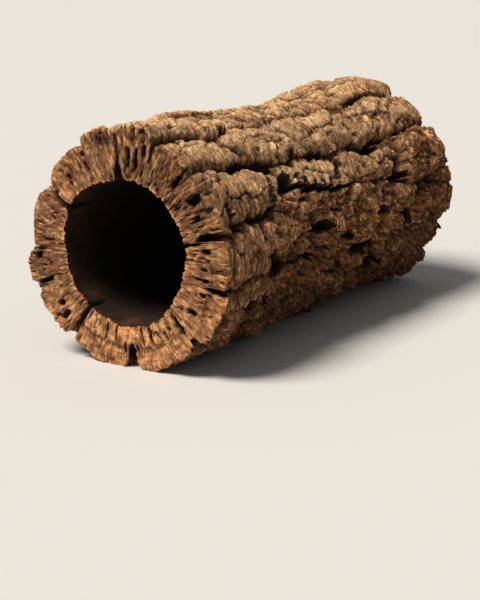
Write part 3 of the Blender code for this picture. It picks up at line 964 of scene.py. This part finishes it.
def sawn_ends(angle, radius, bore_radius):
    """The grids of both sawn ends, by the bark's row that each meets."""
    share = np.linspace(0, 1, math.prod(FACE_CUTS) + 1)
    ends = {}
    for row, seed, *marks in SAWN_ENDS:
        face_angle = angle[:, row][:, None] + 0 * share
        edge = radius[:, row][:, None]
        face_radius = mixed_by(share, bore_radius[:, row][:, None], edge)
        let_in, dark, rolled = sawn_relief(face_angle, face_radius, edge, *marks, seed)
        let_in[:, -1] = sum(np.roll(let_in[:, -1], step) for step in range(-2, 3)) / 5
        ends[row] = face_angle, face_radius, let_in, dark, rolled
    return ends


def end_shift(ends, along, side):
    """How far the rows near a sawn end move with it. Side is 0 where it meets the bore and -1 at the bark."""
    shift = 0.0
    for row, sign in ((0, 1), (-1, -1)):
        let_in = ends[row][2][:, side][:, None]
        inward = np.abs(along - along[row])
        shift = shift + sign * let_in * np.exp(-inward / (0.003 + 2.0 * let_in))
    return shift


def places(angle, radius, along):
    """Points in the row's frame. None is below the floor that the branch rests on."""
    x = AXIS_X + radius * np.cos(angle)
    y = along - LENGTH / 2 + 0 * angle
    z = np.maximum(0.0, AXIS_HEIGHT + radius * np.sin(angle))
    return np.stack([x, y, z], axis=-1)


# The mesh: the section of the wall, turned round the axis and then moved to the forms above
MASKS = ("crevice", "ridge", "crown", "pleat", "broken", "tint")
BARK, SAWN, BORE = range(3)
TOUCH = 1e-5
ROLL_LINES = 0.0040
SMOOTH_UNDER = math.radians(55)


def nothing_selected():
    """Leaves no object selected or being edited."""
    if bpy.context.object and bpy.context.object.mode != "OBJECT":
        bpy.ops.object.mode_set(mode="OBJECT")
    bpy.ops.object.select_all(action="DESELECT")


def cut_side(wall, on_side, cuts):
    """Cuts one side of the section into equal edges. Each number in cuts cuts all its edges again."""
    for parts in cuts:
        bpy.ops.object.mode_set(mode="EDIT")
        bpy.ops.mesh.select_mode(type="EDGE")
        bpy.ops.mesh.select_all(action="DESELECT")
        bpy.ops.object.mode_set(mode="OBJECT")
        for edge in wall.data.edges:
            edge.select = all(on_side(wall.data.vertices[i].co) for i in edge.vertices)
        bpy.ops.object.mode_set(mode="EDIT")
        bpy.ops.mesh.subdivide(number_cuts=parts - 1)
    bpy.ops.object.mode_set(mode="OBJECT")


def plain_tube(count):
    """A plain tube: a rectangle between bore and bark, cut fine and turned round the branch's axis."""
    nothing_selected()
    middle = ((BORE_RADIUS + BARK_RADIUS) / 2, LENGTH / 2, 0)
    bpy.ops.mesh.primitive_plane_add(size=1, location=middle, enter_editmode=True)
    bpy.ops.transform.resize(value=(BARK_RADIUS - BORE_RADIUS, LENGTH, 1))
    bpy.ops.mesh.delete(type="ONLY_FACE")
    bpy.ops.object.mode_set(mode="OBJECT")
    wall = bpy.context.object
    bpy.ops.object.transform_apply(location=True, rotation=True, scale=True)
    cut_side(wall, lambda place: abs(place.x - BARK_RADIUS) < TOUCH, BARK_CUTS)
    cut_side(wall, lambda place: abs(place.x - BORE_RADIUS) < TOUCH, BORE_CUTS)
    cut_side(wall, lambda place: abs(place.y) < TOUCH, FACE_CUTS)
    cut_side(wall, lambda place: abs(place.y - LENGTH) < TOUCH, FACE_CUTS)
    turn = wall.modifiers.new("turn", "SCREW")
    turn.axis = "Y"
    turn.angle = math.tau
    turn.steps = turn.render_steps = count
    turn.use_merge_vertices = False
    bpy.ops.object.modifier_apply(modifier=turn.name)
    return wall


def keep_masks(mesh, values):
    """Keeps each mask as an attribute of the mesh's vertices."""
    for name in MASKS:
        attribute = mesh.attributes.new(name, "FLOAT", "POINT")
        attribute.data.foreach_set("value", values[name].astype(np.float32))


def give_materials(mesh, on_bark, on_bore, crown):
    """Gives each face its material. Where the bark rolls over a sawn end, the end has the bark's."""
    corners = np.empty(len(mesh.loops), np.int32)
    mesh.loops.foreach_get("vertex_index", corners)
    corners = corners.reshape(-1, 4)
    kind = np.full(len(mesh.polygons), SAWN, np.int32)
    kind[crown[corners].mean(axis=1) > 0.15] = BARK
    kind[on_bark[corners].all(axis=1)] = BARK
    kind[on_bore[corners].all(axis=1)] = BORE
    mesh.polygons.foreach_set("material_index", kind)


def shape_wall(wall, columns, relief):
    """Moves the tube's vertices to the bark, the bore and the sawn ends, and keeps their masks."""
    mesh = wall.data
    count = len(mesh.vertices)
    flat = np.empty(count * 3, np.float32)
    mesh.vertices.foreach_get("co", flat)
    x, along, z = flat.reshape(-1, 3).astype(float).T
    column = np.round(np.arctan2(z, x) / math.tau * columns.count).astype(int) % columns.count
    outward = (np.hypot(x, z) - BORE_RADIUS) / (BARK_RADIUS - BORE_RADIUS)
    on_bark, on_bore = outward > 0.999, outward < 0.001
    bark_rows, bore_rows, face_rows = (math.prod(cuts) for cuts in (BARK_CUTS, BORE_CUTS, FACE_CUTS))
    bark_along = np.linspace(0, LENGTH, bark_rows + 1)
    bore_along = np.linspace(0, LENGTH, bore_rows + 1)
    bore_along = LENGTH * ramp(np.linspace(0, 1, bore_rows + 1)) * 0.6 + 0.4 * bore_along

    angle, radius, masks = bark_grid(columns, bark_along, relief)
    notches = (True, FRONT_NOTCHES), (False, BACK_NOTCHES)
    bore_angle, bore_radius, bore_dark = bore_grid(columns, bore_along, notches)
    ends = sawn_ends(angle, radius, bore_radius)

    points = np.zeros((count, 3))
    values = {name: np.zeros(count) for name in MASKS}
    spot = column[on_bark], np.round(along[on_bark] / LENGTH * bark_rows).astype(int)
    points[on_bark] = places(angle, radius, bark_along + end_shift(ends, bark_along, -1))[spot]
    for name, mask in masks.items():
        values[name][on_bark] = mask[spot]
    spot = column[on_bore], np.round(along[on_bore] / LENGTH * bore_rows).astype(int)
    points[on_bore] = places(bore_angle, bore_radius, bore_along + end_shift(ends, bore_along, 0))[spot]
    values["crevice"][on_bore] = bore_dark[spot]
    for row, at_end in ((0, along < TOUCH), (-1, along > LENGTH - TOUCH)):
        here = at_end & ~on_bark & ~on_bore
        face_angle, face_radius, let_in, dark, rolled = ends[row]
        spot = column[here], np.round(outward[here] * face_rows).astype(int)
        from_front = let_in if row == 0 else LENGTH - let_in
        points[here] = places(face_angle, face_radius, from_front)[spot]
        # Painted shade in the face's slots and holes, and a painted highlight where it is not let in
        values["crevice"][here] = dark[spot]
        values["ridge"][here] = np.clip(1 - let_in / 0.0012, 0, 1)[spot]
        values["crown"][here] = 0.3 * ramp((rolled - 0.001) / 0.002)[spot]
        values["pleat"][here] = (let_in / ROLL_LINES)[spot]
        values["tint"][here] = 0.5
        values["broken"][here] = face_roughness(face_angle)[spot]
    mesh.vertices.foreach_set("co", points.astype(np.float32).ravel())
    keep_masks(mesh, values)
    give_materials(mesh, on_bark, on_bore, values["crown"])
    mesh.update()


def thin_out(wall, most):
    """Brings the mesh under a number of triangles, where that changes its shape the least."""
    thin = wall.modifiers.new("thin", "DECIMATE")
    thin.ratio = most / (2 * len(wall.data.polygons))
    thin.use_collapse_triangulate = True
    bpy.ops.object.modifier_apply(modifier=thin.name)


def close_up(wall):
    """Lifts what the thinning took below the floor, merges what touches, and points the faces outwards."""
    for vertex in wall.data.vertices:
        vertex.co.z = max(0.0, vertex.co.z)
    bpy.ops.object.mode_set(mode="EDIT")
    bpy.ops.mesh.select_mode(type="VERT")
    bpy.ops.mesh.select_all(action="SELECT")
    bpy.ops.mesh.remove_doubles(threshold=1e-6)
    bpy.ops.mesh.normals_make_consistent(inside=False)
    bpy.ops.object.mode_set(mode="OBJECT")


# Materials
def put(tree, value, socket):
    """Sets a socket to a value, or links it to another node's output."""
    if isinstance(value, bpy.types.NodeSocket):
        tree.links.new(value, socket)
    else:
        socket.default_value = value


def add(tree, kind, inputs=None, **settings):
    """A new node with its settings, and its inputs set to values or linked to other nodes' outputs."""
    node = tree.nodes.new(kind)
    for name, value in settings.items():
        setattr(node, name, value)
    for name, value in (inputs or {}).items():
        put(tree, value, node.inputs[name])
    return node


def math_node(tree, operation, *values):
    """The output of a Math node."""
    return add(tree, "ShaderNodeMath", dict(enumerate(values)), operation=operation).outputs[0]


def plus(tree, first, second):
    """The sum of two values."""
    return math_node(tree, "ADD", first, second)


def minus(tree, first, second):
    """The first value less the second."""
    return math_node(tree, "SUBTRACT", first, second)


def times(tree, first, second):
    """The product of two values."""
    return math_node(tree, "MULTIPLY", first, second)


def between(tree, value, low, high, bottom=0.0, top=1.0):
    """The value brought from the range low to high to bottom to top, smooth and kept inside."""
    inputs = {"Value": value, "From Min": low, "From Max": high, "To Min": bottom, "To Max": top}
    return add(tree, "ShaderNodeMapRange", inputs, interpolation_type="SMOOTHSTEP").outputs["Result"]


def from_middle(tree, value):
    """How far a value is from the middle between the whole numbers on its two sides."""
    return math_node(tree, "ABSOLUTE", minus(tree, math_node(tree, "FRACT", value), 0.5))


def from_end(tree, place):
    """The distance along the branch from the nearer sawn end."""
    along = add(tree, "ShaderNodeSeparateXYZ", {"Vector": place}).outputs["Y"]
    return minus(tree, LENGTH / 2, math_node(tree, "ABSOLUTE", along))


def blend(tree, share, first, second):
    """Two colours, mixed by share."""
    mix = add(tree, "ShaderNodeMix", data_type="RGBA", blend_type="MIX")
    colours = [socket for socket in mix.inputs if socket.type == "RGBA"]
    put(tree, share, mix.inputs["Factor"])
    put(tree, first, colours[0])
    put(tree, second, colours[1])
    return next(socket for socket in mix.outputs if socket.type == "RGBA")


def noise_node(tree, place, scale, detail=4.0, roughness=0.6, distortion=0.0):
    """The output of a Noise node."""
    inputs = {"Vector": place, "Scale": scale, "Detail": detail, "Roughness": roughness}
    inputs["Distortion"] = distortion
    return add(tree, "ShaderNodeTexNoise", inputs).outputs["Fac"]


def mask_node(tree, name):
    """One of the branch's own masks."""
    return add(tree, "ShaderNodeAttribute", attribute_name=name, attribute_type="GEOMETRY").outputs["Fac"]


def new_group(name, inputs, outputs):
    """An empty node group with its sockets: each input is a name, a kind and a default."""
    group = bpy.data.node_groups.new(name, "ShaderNodeTree")
    for label, kind, default in inputs:
        socket = group.interface.new_socket(label, in_out="INPUT", socket_type="NodeSocket" + kind)
        if default is not None:
            socket.default_value = default
    for label, kind in outputs:
        group.interface.new_socket(label, in_out="OUTPUT", socket_type="NodeSocket" + kind)
    entry = group.nodes.new("NodeGroupInput").outputs
    leave = group.nodes.new("NodeGroupOutput").inputs
    return group, entry, leave


def use_group(tree, group, **inputs):
    """The group placed in a material, with its own values."""
    node = tree.nodes.new("ShaderNodeGroup")
    node.node_tree = group
    for name, value in inputs.items():
        put(tree, value, node.inputs[name.replace("_", " ")])
    return node.outputs


def cork_grain_group():
    """Cork's own mottle: soft patches, small flecks and fine grain."""
    inputs = (("Place", "Vector", None), ("Patch size", "Float", 40.0), ("Fleck size", "Float", 420.0))
    outputs = (("Patches", "Float"), ("Flecks", "Float"), ("Grain", "Float"))
    group, entry, leave = new_group("Cork grain", inputs, outputs)
    place = entry["Place"]
    patches = noise_node(group, place, entry["Patch size"], detail=3.0, roughness=0.65, distortion=0.4)
    flecks = noise_node(group, place, entry["Fleck size"], detail=3.0, roughness=0.7)
    fine = noise_node(group, place, 1500.0, detail=2.0, roughness=0.6)
    group.links.new(between(group, patches, 0.32, 0.68), leave["Patches"])
    group.links.new(between(group, flecks, 0.30, 0.70), leave["Flecks"])
    group.links.new(fine, leave["Grain"])
    return group


def shaded_hollows_group():
    """Painted shade in the hollows, and a painted highlight that makes the ridges paler."""
    inputs = (
        ("Colour", "Color", None),
        ("Hollow colour", "Color", None),
        ("Crevice", "Float", 0.0),
        ("Ridge", "Float", 0.0),
        ("Depth", "Float", 0.8),
        ("Wear", "Float", 0.3),
    )
    group, entry, leave = new_group("Shaded hollows", inputs, (("Colour", "Color"),))
    # Painted shade: the colour darkens towards the hollow colour in the crevices
    in_hollow = times(group, entry["Crevice"], entry["Depth"])
    dark = blend(group, in_hollow, entry["Colour"], entry["Hollow colour"])
    paler = {"Value": 1.5, "Saturation": 0.92, "Color": dark}
    # Painted highlight: the ridges are made paler, as if the light caught them
    worn = add(group, "ShaderNodeHueSaturation", paler).outputs["Color"]
    final = blend(group, times(group, entry["Ridge"], entry["Wear"]), dark, worn)
    group.links.new(final, leave["Colour"])
    return group


def round_the_axis_group():
    """Places on a sawn end, round the branch's axis, so that a pattern can be drawn out along the radius."""
    inputs = (("Place", "Vector", None), ("Drawn out", "Float", 6.0))
    group, entry, leave = new_group("Round the axis", inputs, (("Place", "Vector"),))
    xyz = add(group, "ShaderNodeSeparateXYZ", {"Vector": entry["Place"]}).outputs
    across = minus(group, xyz["X"], AXIS_X)
    up = minus(group, xyz["Z"], AXIS_HEIGHT)
    square = plus(group, times(group, across, across), times(group, up, up))
    distance = math_node(group, "SQRT", square)
    middle = (BORE_RADIUS + BARK_RADIUS) / 2
    x, z = (times(group, math_node(group, "DIVIDE", part, distance), middle) for part in (across, up))
    y = math_node(group, "DIVIDE", distance, entry["Drawn out"])
    place = add(group, "ShaderNodeCombineXYZ", {"X": x, "Y": y, "Z": z}).outputs[0]
    group.links.new(place, leave["Place"])
    return group


def new_material(name, roughness, shine):
    """A material with its surface, and the object's own coordinates for its patterns."""
    material = bpy.data.materials.new(name)
    material.use_nodes = True
    tree = material.node_tree
    surface = tree.nodes["Principled BSDF"]
    surface.inputs["Roughness"].default_value = roughness
    surface.inputs["Specular IOR Level"].default_value = shine
    place = tree.nodes.new("ShaderNodeTexCoord").outputs["Object"]
    return material, tree, surface, place


def raise_surface(tree, surface, height, distance, strength=1.0):
    """Bumps the surface by the height, in units of the distance."""
    bump = add(tree, "ShaderNodeBump", {"Strength": strength, "Distance": distance, "Height": height})
    tree.links.new(bump.outputs["Normal"], surface.inputs["Normal"])


def weathered_bark(colours, grain, hollows):
    """The outside: brown cork in plates, greyed on the crowns and nearly black in the splits."""
    material, tree, surface, place = new_material("weathered_bark", 0.92, 0.22)
    mottle = use_group(tree, grain, Place=place, Patch_size=38.0, Fleck_size=330.0)
    squeezed = add(tree, "ShaderNodeMapping", {"Vector": place, "Scale": (1.0, 2.4, 1.0)}).outputs[0]
    leaves = noise_node(tree, squeezed, 190.0, detail=4.0, roughness=0.7)
    grit = noise_node(tree, place, 430.0, detail=3.0, roughness=0.75)
    specks = noise_node(tree, place, 360.0, detail=4.0, roughness=0.75)
    crown = mask_node(tree, "crown")
    flank = minus(tree, 1.0, crown)
    calm = minus(tree, 1.0, mask_node(tree, "broken"))
    on_crown = between(tree, crown, 0.0, 1.0, 1.0, 0.6)

    # The plates: each its own shade, with dark splits between them and thin sheets inside them
    pleat = plus(tree, mask_node(tree, "pleat"), times(tree, noise_node(tree, place, 160.0, detail=2.0), 0.5))
    whole = {"W": math_node(tree, "FLOOR", pleat)}
    shade = add(tree, "ShaderNodeTexWhiteNoise", whole, noise_dimensions="1D").outputs["Value"]
    split = times(tree, between(tree, from_middle(tree, pleat), 0.32, 0.46), flank)
    sheets = times(tree, between(tree, from_middle(tree, times(tree, pleat, 3.0)), 0.30, 0.5), flank)

    redness = times(tree, mottle["Patches"], math_node(tree, "MULTIPLY_ADD", calm, 0.55, 0.45))
    brown = blend(tree, redness, colours.red_bark, colours.brown_bark)
    brown = blend(tree, times(tree, shade, 0.36), brown, colours.pale_bark)
    brown = blend(tree, between(tree, leaves, 0.40, 0.56, 0.75, 0.0), brown, colours.dark_bark)
    brown = blend(tree, times(tree, sheets, 0.45), brown, colours.dark_bark)
    crust = blend(tree, mottle["Flecks"], colours.pale_bark, colours.weathered_bark)
    crust = blend(tree, between(tree, specks, 0.56, 0.66, 0.0, 0.75), crust, colours.brown_bark)
    # Paler crust on the crowns: weathering, with painted light where the crown mask is stronger on the upper
    # side
    weather = times(tree, crown, between(tree, mottle["Patches"], 0.0, 0.7, 0.75, 1.0))
    cork = blend(tree, weather, brown, crust)
    gritty = minus(tree, between(tree, grit, 0.36, 0.64, 0.66, 1.36), 1.0)
    gritty = math_node(tree, "MULTIPLY_ADD", gritty, on_crown, 1.0)
    # The tint mask is lower on the underside: painted shade
    tint = times(tree, between(tree, mask_node(tree, "tint"), 0.0, 1.1, 0.70, 1.65), gritty)
    cork = add(tree, "ShaderNodeHueSaturation", {"Value": tint, "Color": cork}).outputs["Color"]
    lined = blend(tree, times(tree, split, 0.72), cork, colours.dark_bark)
    # Painted shade in the crevices, splits and slits, and a painted highlight on the ridges
    shaded = use_group(
        tree, hollows, Colour=lined, Hollow_colour=colours.painted_shade_black,
        Crevice=between(tree, mask_node(tree, "crevice"), 0.10, 0.85),
        Ridge=mask_node(tree, "ridge"), Depth=0.95, Wear=0.32,
    )["Colour"]
    tree.links.new(shaded, surface.inputs["Base Color"])

    height = plus(tree, plus(tree, leaves, grit), between(tree, leaves, 0.42, 0.55, 0.0, 0.5))
    height = times(tree, height, on_crown)
    for marks, depth in ((split, 0.7), (sheets, 0.4), (between(tree, specks, 0.52, 0.68), 1.0)):
        height = minus(tree, height, times(tree, marks, depth))
    raise_surface(tree, surface, height, 0.0013)
    return material


def sawn_cork(colours, grain, hollows, round_axis):
    """The sawn ends: warm tan cork with pale rays from the bore to the bark and dark splits between them."""
    material, tree, surface, place = new_material("sawn_cork", 0.85, 0.28)
    mottle = use_group(tree, grain, Place=place, Patch_size=55.0, Fleck_size=520.0)
    drawn_out = use_group(tree, round_axis, Place=place, Drawn_out=4.0)["Place"]
    layered = use_group(tree, round_axis, Place=place, Drawn_out=0.22)["Place"]
    rays = noise_node(tree, drawn_out, 580.0, detail=4.0, roughness=0.7, distortion=0.6)
    wide_rays = noise_node(tree, drawn_out, 170.0, detail=2.0, roughness=0.5, distortion=0.5)
    rings = noise_node(tree, layered, 75.0, detail=3.0, roughness=0.65, distortion=0.3)
    rough_cork = mask_node(tree, "broken")
    strokes = plus(tree, rays, times(tree, minus(tree, rough_cork, 0.5), 0.13))
    on_calm = between(tree, rough_cork, 0.95, 0.3)
    ring_lines = times(tree, between(tree, rings, 0.53, 0.62, 0.0, 0.75), on_calm)
    dark_share = between(tree, rough_cork, 0.1, 0.9, 0.6, 0.95)
    dark = times(tree, between(tree, strokes, 0.535, 0.60), dark_share)

    tan = blend(tree, mottle["Patches"], colours.warm_cork, colours.brown_cork)
    tan = blend(tree, between(tree, wide_rays, 0.42, 0.62, 0.0, 0.5), tan, colours.pale_cork)
    tan = blend(tree, between(tree, strokes, 0.36, 0.47, 0.8, 0.0), tan, colours.pale_cork)
    tan = blend(tree, ring_lines, tan, colours.brown_cork)
    tan = blend(tree, dark, tan, colours.dark_cork)
    value = between(tree, rough_cork, 0.1, 1.0, 1.38, 0.70)
    tan = add(tree, "ShaderNodeHueSaturation", {"Value": value, "Color": tan}).outputs["Color"]
    # Painted shade where the sawn cork is let in deeper than its end, except where the bark rolls over it
    not_rolled = between(tree, mask_node(tree, "crown"), 0.05, 0.0)
    sunk = times(tree, between(tree, from_end(tree, place), 0.0014, 0.0036), not_rolled)
    crevice = math_node(tree, "MAXIMUM", sunk, between(tree, mask_node(tree, "crevice"), 0.1, 0.9))
    # Painted shade in the slots, holes and let-in parts, and a painted highlight on the face's uppermost cork
    shaded = use_group(
        tree, hollows, Colour=tan, Hollow_colour=colours.painted_shade_black, Crevice=crevice,
        Ridge=mask_node(tree, "ridge"), Depth=0.97, Wear=0.25,
    )["Colour"]
    tree.links.new(shaded, surface.inputs["Base Color"])

    crisp = between(tree, strokes, 0.46, 0.58, 0.0, 0.4)
    height = times(tree, mottle["Grain"], 0.2)
    for marks, depth in ((strokes, 0.6), (crisp, 1.0), (ring_lines, 0.3)):
        height = minus(tree, height, times(tree, marks, depth))
    raise_surface(tree, surface, height, 0.0015)
    return material


def bore_wall(colours, grain, hollows):
    """The hollow's wall: nearly black with painted shade deep inside, a painted lit brown near the sawn ends,
    and faint fibres along the branch.
    """
    material, tree, surface, place = new_material("bore_wall", 0.9, 0.2)
    mottle = use_group(tree, grain, Place=place, Patch_size=30.0, Fleck_size=300.0)
    stretched = add(tree, "ShaderNodeMapping", {"Vector": place, "Scale": (1.0, 0.07, 1.0)}).outputs[0]
    fibres = noise_node(tree, stretched, 330.0, detail=3.0)
    # Painted shade: nearly black deep in the hollow, with a little lit brown within 35 mm of each end
    deep = blend(tree, mottle["Patches"], colours.bore, colours.painted_shade_black)
    lit = blend(tree, mottle["Patches"], colours.red_bark, colours.dark_bark)
    brown = blend(tree, between(tree, from_end(tree, place), 0.0, 0.035, 0.22, 0.0), deep, lit)
    brown = blend(tree, between(tree, fibres, 0.4, 0.65, 0.0, 0.6), brown, colours.painted_shade_black)
    # Painted shade in the notches
    brown = blend(tree, mask_node(tree, "crevice"), brown, colours.painted_shade_black)
    tree.links.new(brown, surface.inputs["Base Color"])
    height = plus(tree, fibres, times(tree, mottle["Grain"], 0.4))
    raise_surface(tree, surface, height, 0.0006, strength=0.6)
    return material


def length_prop(name, description, default):
    """A length, in metres."""
    return bpy.props.FloatProperty(
        name=name, description=description, default=default, min=0.0, unit="LENGTH", precision=5
    )


def angle_prop(name, description, degrees):
    """An angle, given in degrees and kept in radians."""
    return bpy.props.FloatProperty(
        name=name, description=description, default=math.radians(degrees), subtype="ANGLE"
    )


def colour_prop(name, description, red, green, blue):
    """A colour, with nothing see-through."""
    return bpy.props.FloatVectorProperty(
        name=name, description=description, default=(red, green, blue, 1.0),
        subtype="COLOR", size=4, min=0.0, max=1.0,
    )


class CorkRelief(bpy.types.PropertyGroup):
    """Heights and depths of the bark's fine relief."""

    pleat_cut: length_prop("Pleat cut", "Deepest cut between two plates of the bark", 0.0042)
    tile_step: length_prop("Tile step", "How far one tile of crust stands over the next", 0.0028)
    crack_depth: length_prop("Crack depth", "Depth of the cracks between the tiles of crust", 0.0034)
    nodule_step: length_prop("Nodule step", "How far one nodule stands over the next", 0.0032)
    pit_depth: length_prop("Pit depth", "Depth of the deepest worn pits", 0.0028)
    lump_height: length_prop("Lump height", "Height of the soft unevenness of the bark", 0.0011)
    flake_step: length_prop("Flake step", "Thickness of the bark's thin flakes", 0.0006)
    grain_height: length_prop("Grain height", "Height of the finest grain that is modelled", 0.0003)
    most_triangles: bpy.props.IntProperty(
        name="Most triangles", description="Size of the finished mesh", default=MOST_TRIANGLES
    )


class CorkColours(bpy.types.PropertyGroup):
    """Colours of the cork."""

    brown_bark: colour_prop("Brown bark", "Bark between its worn crowns", 0.40, 0.184, 0.070)
    red_bark: colour_prop("Red bark", "Patches of redder bark", 0.36, 0.129, 0.040)
    pale_bark: colour_prop("Pale bark", "Paler plates of the bark", 0.58, 0.315, 0.128)
    dark_bark: colour_prop("Dark bark", "Lines between the bark's plates", 0.055, 0.026, 0.013)
    weathered_bark: colour_prop("Weathered bark", "Greyed crowns of the bark", 0.70, 0.458, 0.252)
    # Near black: painted shade in splits, slots, holes, notches and deep in the bore, and the bore's dark
    # fibres
    painted_shade_black: colour_prop("Split bark", "Bottom of splits, slots and holes", 0.012, 0.006, 0.003)
    warm_cork: colour_prop("Warm cork", "Sawn cork", 0.37, 0.145, 0.046)
    brown_cork: colour_prop("Brown cork", "Browner patches of the sawn cork", 0.21, 0.085, 0.033)
    pale_cork: colour_prop("Pale cork", "Pale rays of the sawn cork", 0.64, 0.32, 0.125)
    dark_cork: colour_prop("Dark cork", "Dark grain of the sawn cork", 0.045, 0.016, 0.006)
    # Painted shade: the hollow's wall is coloured nearly black
    bore: colour_prop("Bore", "Wall of the hollow", 0.012, 0.006, 0.0035)


FLOOR_SIZE = 8.0
FLOOR_ROUGHNESS = 0.9
SKY_COLOUR = (0.9, 0.95, 1.0, 1.0)
KEY_COLOUR = (1.0, 0.95, 0.88)
KEY_SOFTNESS = math.radians(24)
SENSOR_HEIGHT = 36.0
LENS = 104.3


class StageSettings(bpy.types.PropertyGroup):
    """Floor, lights and camera."""

    floor_colour: colour_prop("Floor", "The plain floor", 0.62, 0.60, 0.57)
    key_strength: bpy.props.FloatProperty(
        name="Key light", description="Strength of the light at the upper left", default=4.2
    )
    key_turn: angle_prop("Key turn", "Where the key light stands, round from the front", -30)
    key_lift: angle_prop("Key lift", "How high the key light stands", 60)
    fill_strength: bpy.props.FloatProperty(
        name="Fill", description="Brightness of the light from all round", default=0.225
    )
    turn: angle_prop("Turn", "Where the camera stands, round from the front", 33.23)
    lift: angle_prop("Lift", "How high the camera looks down from", 14.71)
    distance: length_prop("Camera distance", "From the camera to the front sawn end", 1.084)
    aim_right: length_prop("Aim right", "From the front end's middle to the picture's middle", 0.0724)
    aim_down: length_prop("Aim down", "From the front end's middle down to the picture's middle", 0.0294)


class CORK_OT_branch(bpy.types.Operator):
    """Makes the cork branch in place of the plain solid"""

    bl_idname = "cork.branch"
    bl_label = "Cork branch"

    def execute(self, context):
        relief, colours = context.scene.cork_relief, context.scene.cork_colours
        columns = Columns()
        wall = plain_tube(columns.count)
        wall.name = wall.data.name = "cork_branch_bark"
        shape_wall(wall, columns, relief)
        thin_out(wall, relief.most_triangles)
        close_up(wall)
        grain, hollows, round_axis = cork_grain_group(), shaded_hollows_group(), round_the_axis_group()
        wall.data.materials.append(weathered_bark(colours, grain, hollows))
        wall.data.materials.append(sawn_cork(colours, grain, hollows, round_axis))
        wall.data.materials.append(bore_wall(colours, grain, hollows))
        bpy.ops.object.shade_smooth_by_angle(angle=SMOOTH_UNDER)
        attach(wall, "root")
        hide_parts(NODE)
        return {"FINISHED"}


def from_round(turn, lift):
    """The direction of something seen at a turn from the front, towards +X, and at a lift above the floor."""
    return Vector((math.sin(turn) * math.cos(lift), -math.cos(turn) * math.cos(lift), math.sin(lift)))


def soft_light(name, turn, lift, strength):
    """A light as even as the sun's, with soft shadows."""
    lamp = bpy.data.lights.new(name, "SUN")
    lamp.energy = strength
    lamp.angle = KEY_SOFTNESS
    lamp.color = KEY_COLOUR
    holder = bpy.data.objects.new(name, lamp)
    bpy.context.scene.collection.objects.link(holder)
    holder.location = from_round(turn, lift)
    holder.rotation_euler = from_round(turn, lift).to_track_quat("Z", "Y").to_euler()


class CORK_OT_stage(bpy.types.Operator):
    """Makes the floor, the lights and the camera"""

    bl_idname = "cork.stage"
    bl_label = "Stage"

    def execute(self, context):
        settings = context.scene.cork_stage
        nothing_selected()
        bpy.ops.mesh.primitive_plane_add(size=FLOOR_SIZE, location=(0, 0, 0))
        floor = context.object
        floor.name = floor.data.name = "floor"
        bpy.ops.object.transform_apply(location=True, rotation=True, scale=True)
        plain = bpy.data.materials.new("plain_floor")
        plain.use_nodes = True
        surface = plain.node_tree.nodes["Principled BSDF"]
        surface.inputs["Base Color"].default_value = settings.floor_colour
        surface.inputs["Roughness"].default_value = FLOOR_ROUGHNESS
        floor.data.materials.append(plain)
        world = bpy.data.worlds.new("soft_room")
        world.use_nodes = True
        sky = world.node_tree.nodes["Background"]
        sky.inputs["Color"].default_value = SKY_COLOUR
        sky.inputs["Strength"].default_value = settings.fill_strength
        context.scene.world = world
        soft_light("key", settings.key_turn, settings.key_lift, settings.key_strength)
        back = from_round(settings.turn, settings.lift)
        right = Vector((math.cos(settings.turn), math.sin(settings.turn), 0.0))
        up = back.cross(right)
        aim = Vector((0.0, -LENGTH / 2, AXIS_HEIGHT)) + settings.aim_right * right - settings.aim_down * up
        camera = bpy.data.objects.new("camera", bpy.data.cameras.new("camera"))
        context.scene.collection.objects.link(camera)
        camera.data.sensor_fit = "VERTICAL"
        camera.data.sensor_height = SENSOR_HEIGHT
        camera.data.lens = LENS
        camera.location = aim + settings.distance * back
        camera.rotation_euler = back.to_track_quat("Z", "Y").to_euler()
        context.scene.camera = camera
        context.scene.view_settings.view_transform = "Standard"
        return {"FINISHED"}


class CORK_PT_panel(bpy.types.Panel):
    """Shows the settings of the cork branch and its stage, with buttons that make them"""

    bl_label = "Cork branch"
    bl_idname = "CORK_PT_panel"
    bl_space_type = "VIEW_3D"
    bl_region_type = "UI"
    bl_category = "Cork"

    def draw(self, context):
        for name in ("cork_relief", "cork_colours", "cork_stage"):
            group = getattr(context.scene, name)
            box = self.layout.box()
            for prop in type(group).__annotations__:
                box.prop(group, prop)
        for operator in (CORK_OT_branch, CORK_OT_stage):
            self.layout.operator(operator.bl_idname)


CLASSES = (CorkRelief, CorkColours, StageSettings, CORK_OT_branch, CORK_OT_stage, CORK_PT_panel)


def register():
    """Makes the classes and their settings known to Blender."""
    for cls in CLASSES:
        bpy.utils.register_class(cls)
    bpy.types.Scene.cork_relief = bpy.props.PointerProperty(type=CorkRelief)
    bpy.types.Scene.cork_colours = bpy.props.PointerProperty(type=CorkColours)
    bpy.types.Scene.cork_stage = bpy.props.PointerProperty(type=StageSettings)


def unregister():
    """Takes the classes and their settings out of Blender again."""
    for name in ("cork_relief", "cork_colours", "cork_stage"):
        delattr(bpy.types.Scene, name)
    for cls in reversed(CLASSES):
        bpy.utils.unregister_class(cls)


def main():
    """Makes the branch and its stage."""
    register()
    bpy.ops.cork.branch()
    bpy.ops.cork.stage()


if __name__ == "__main__":
    main()
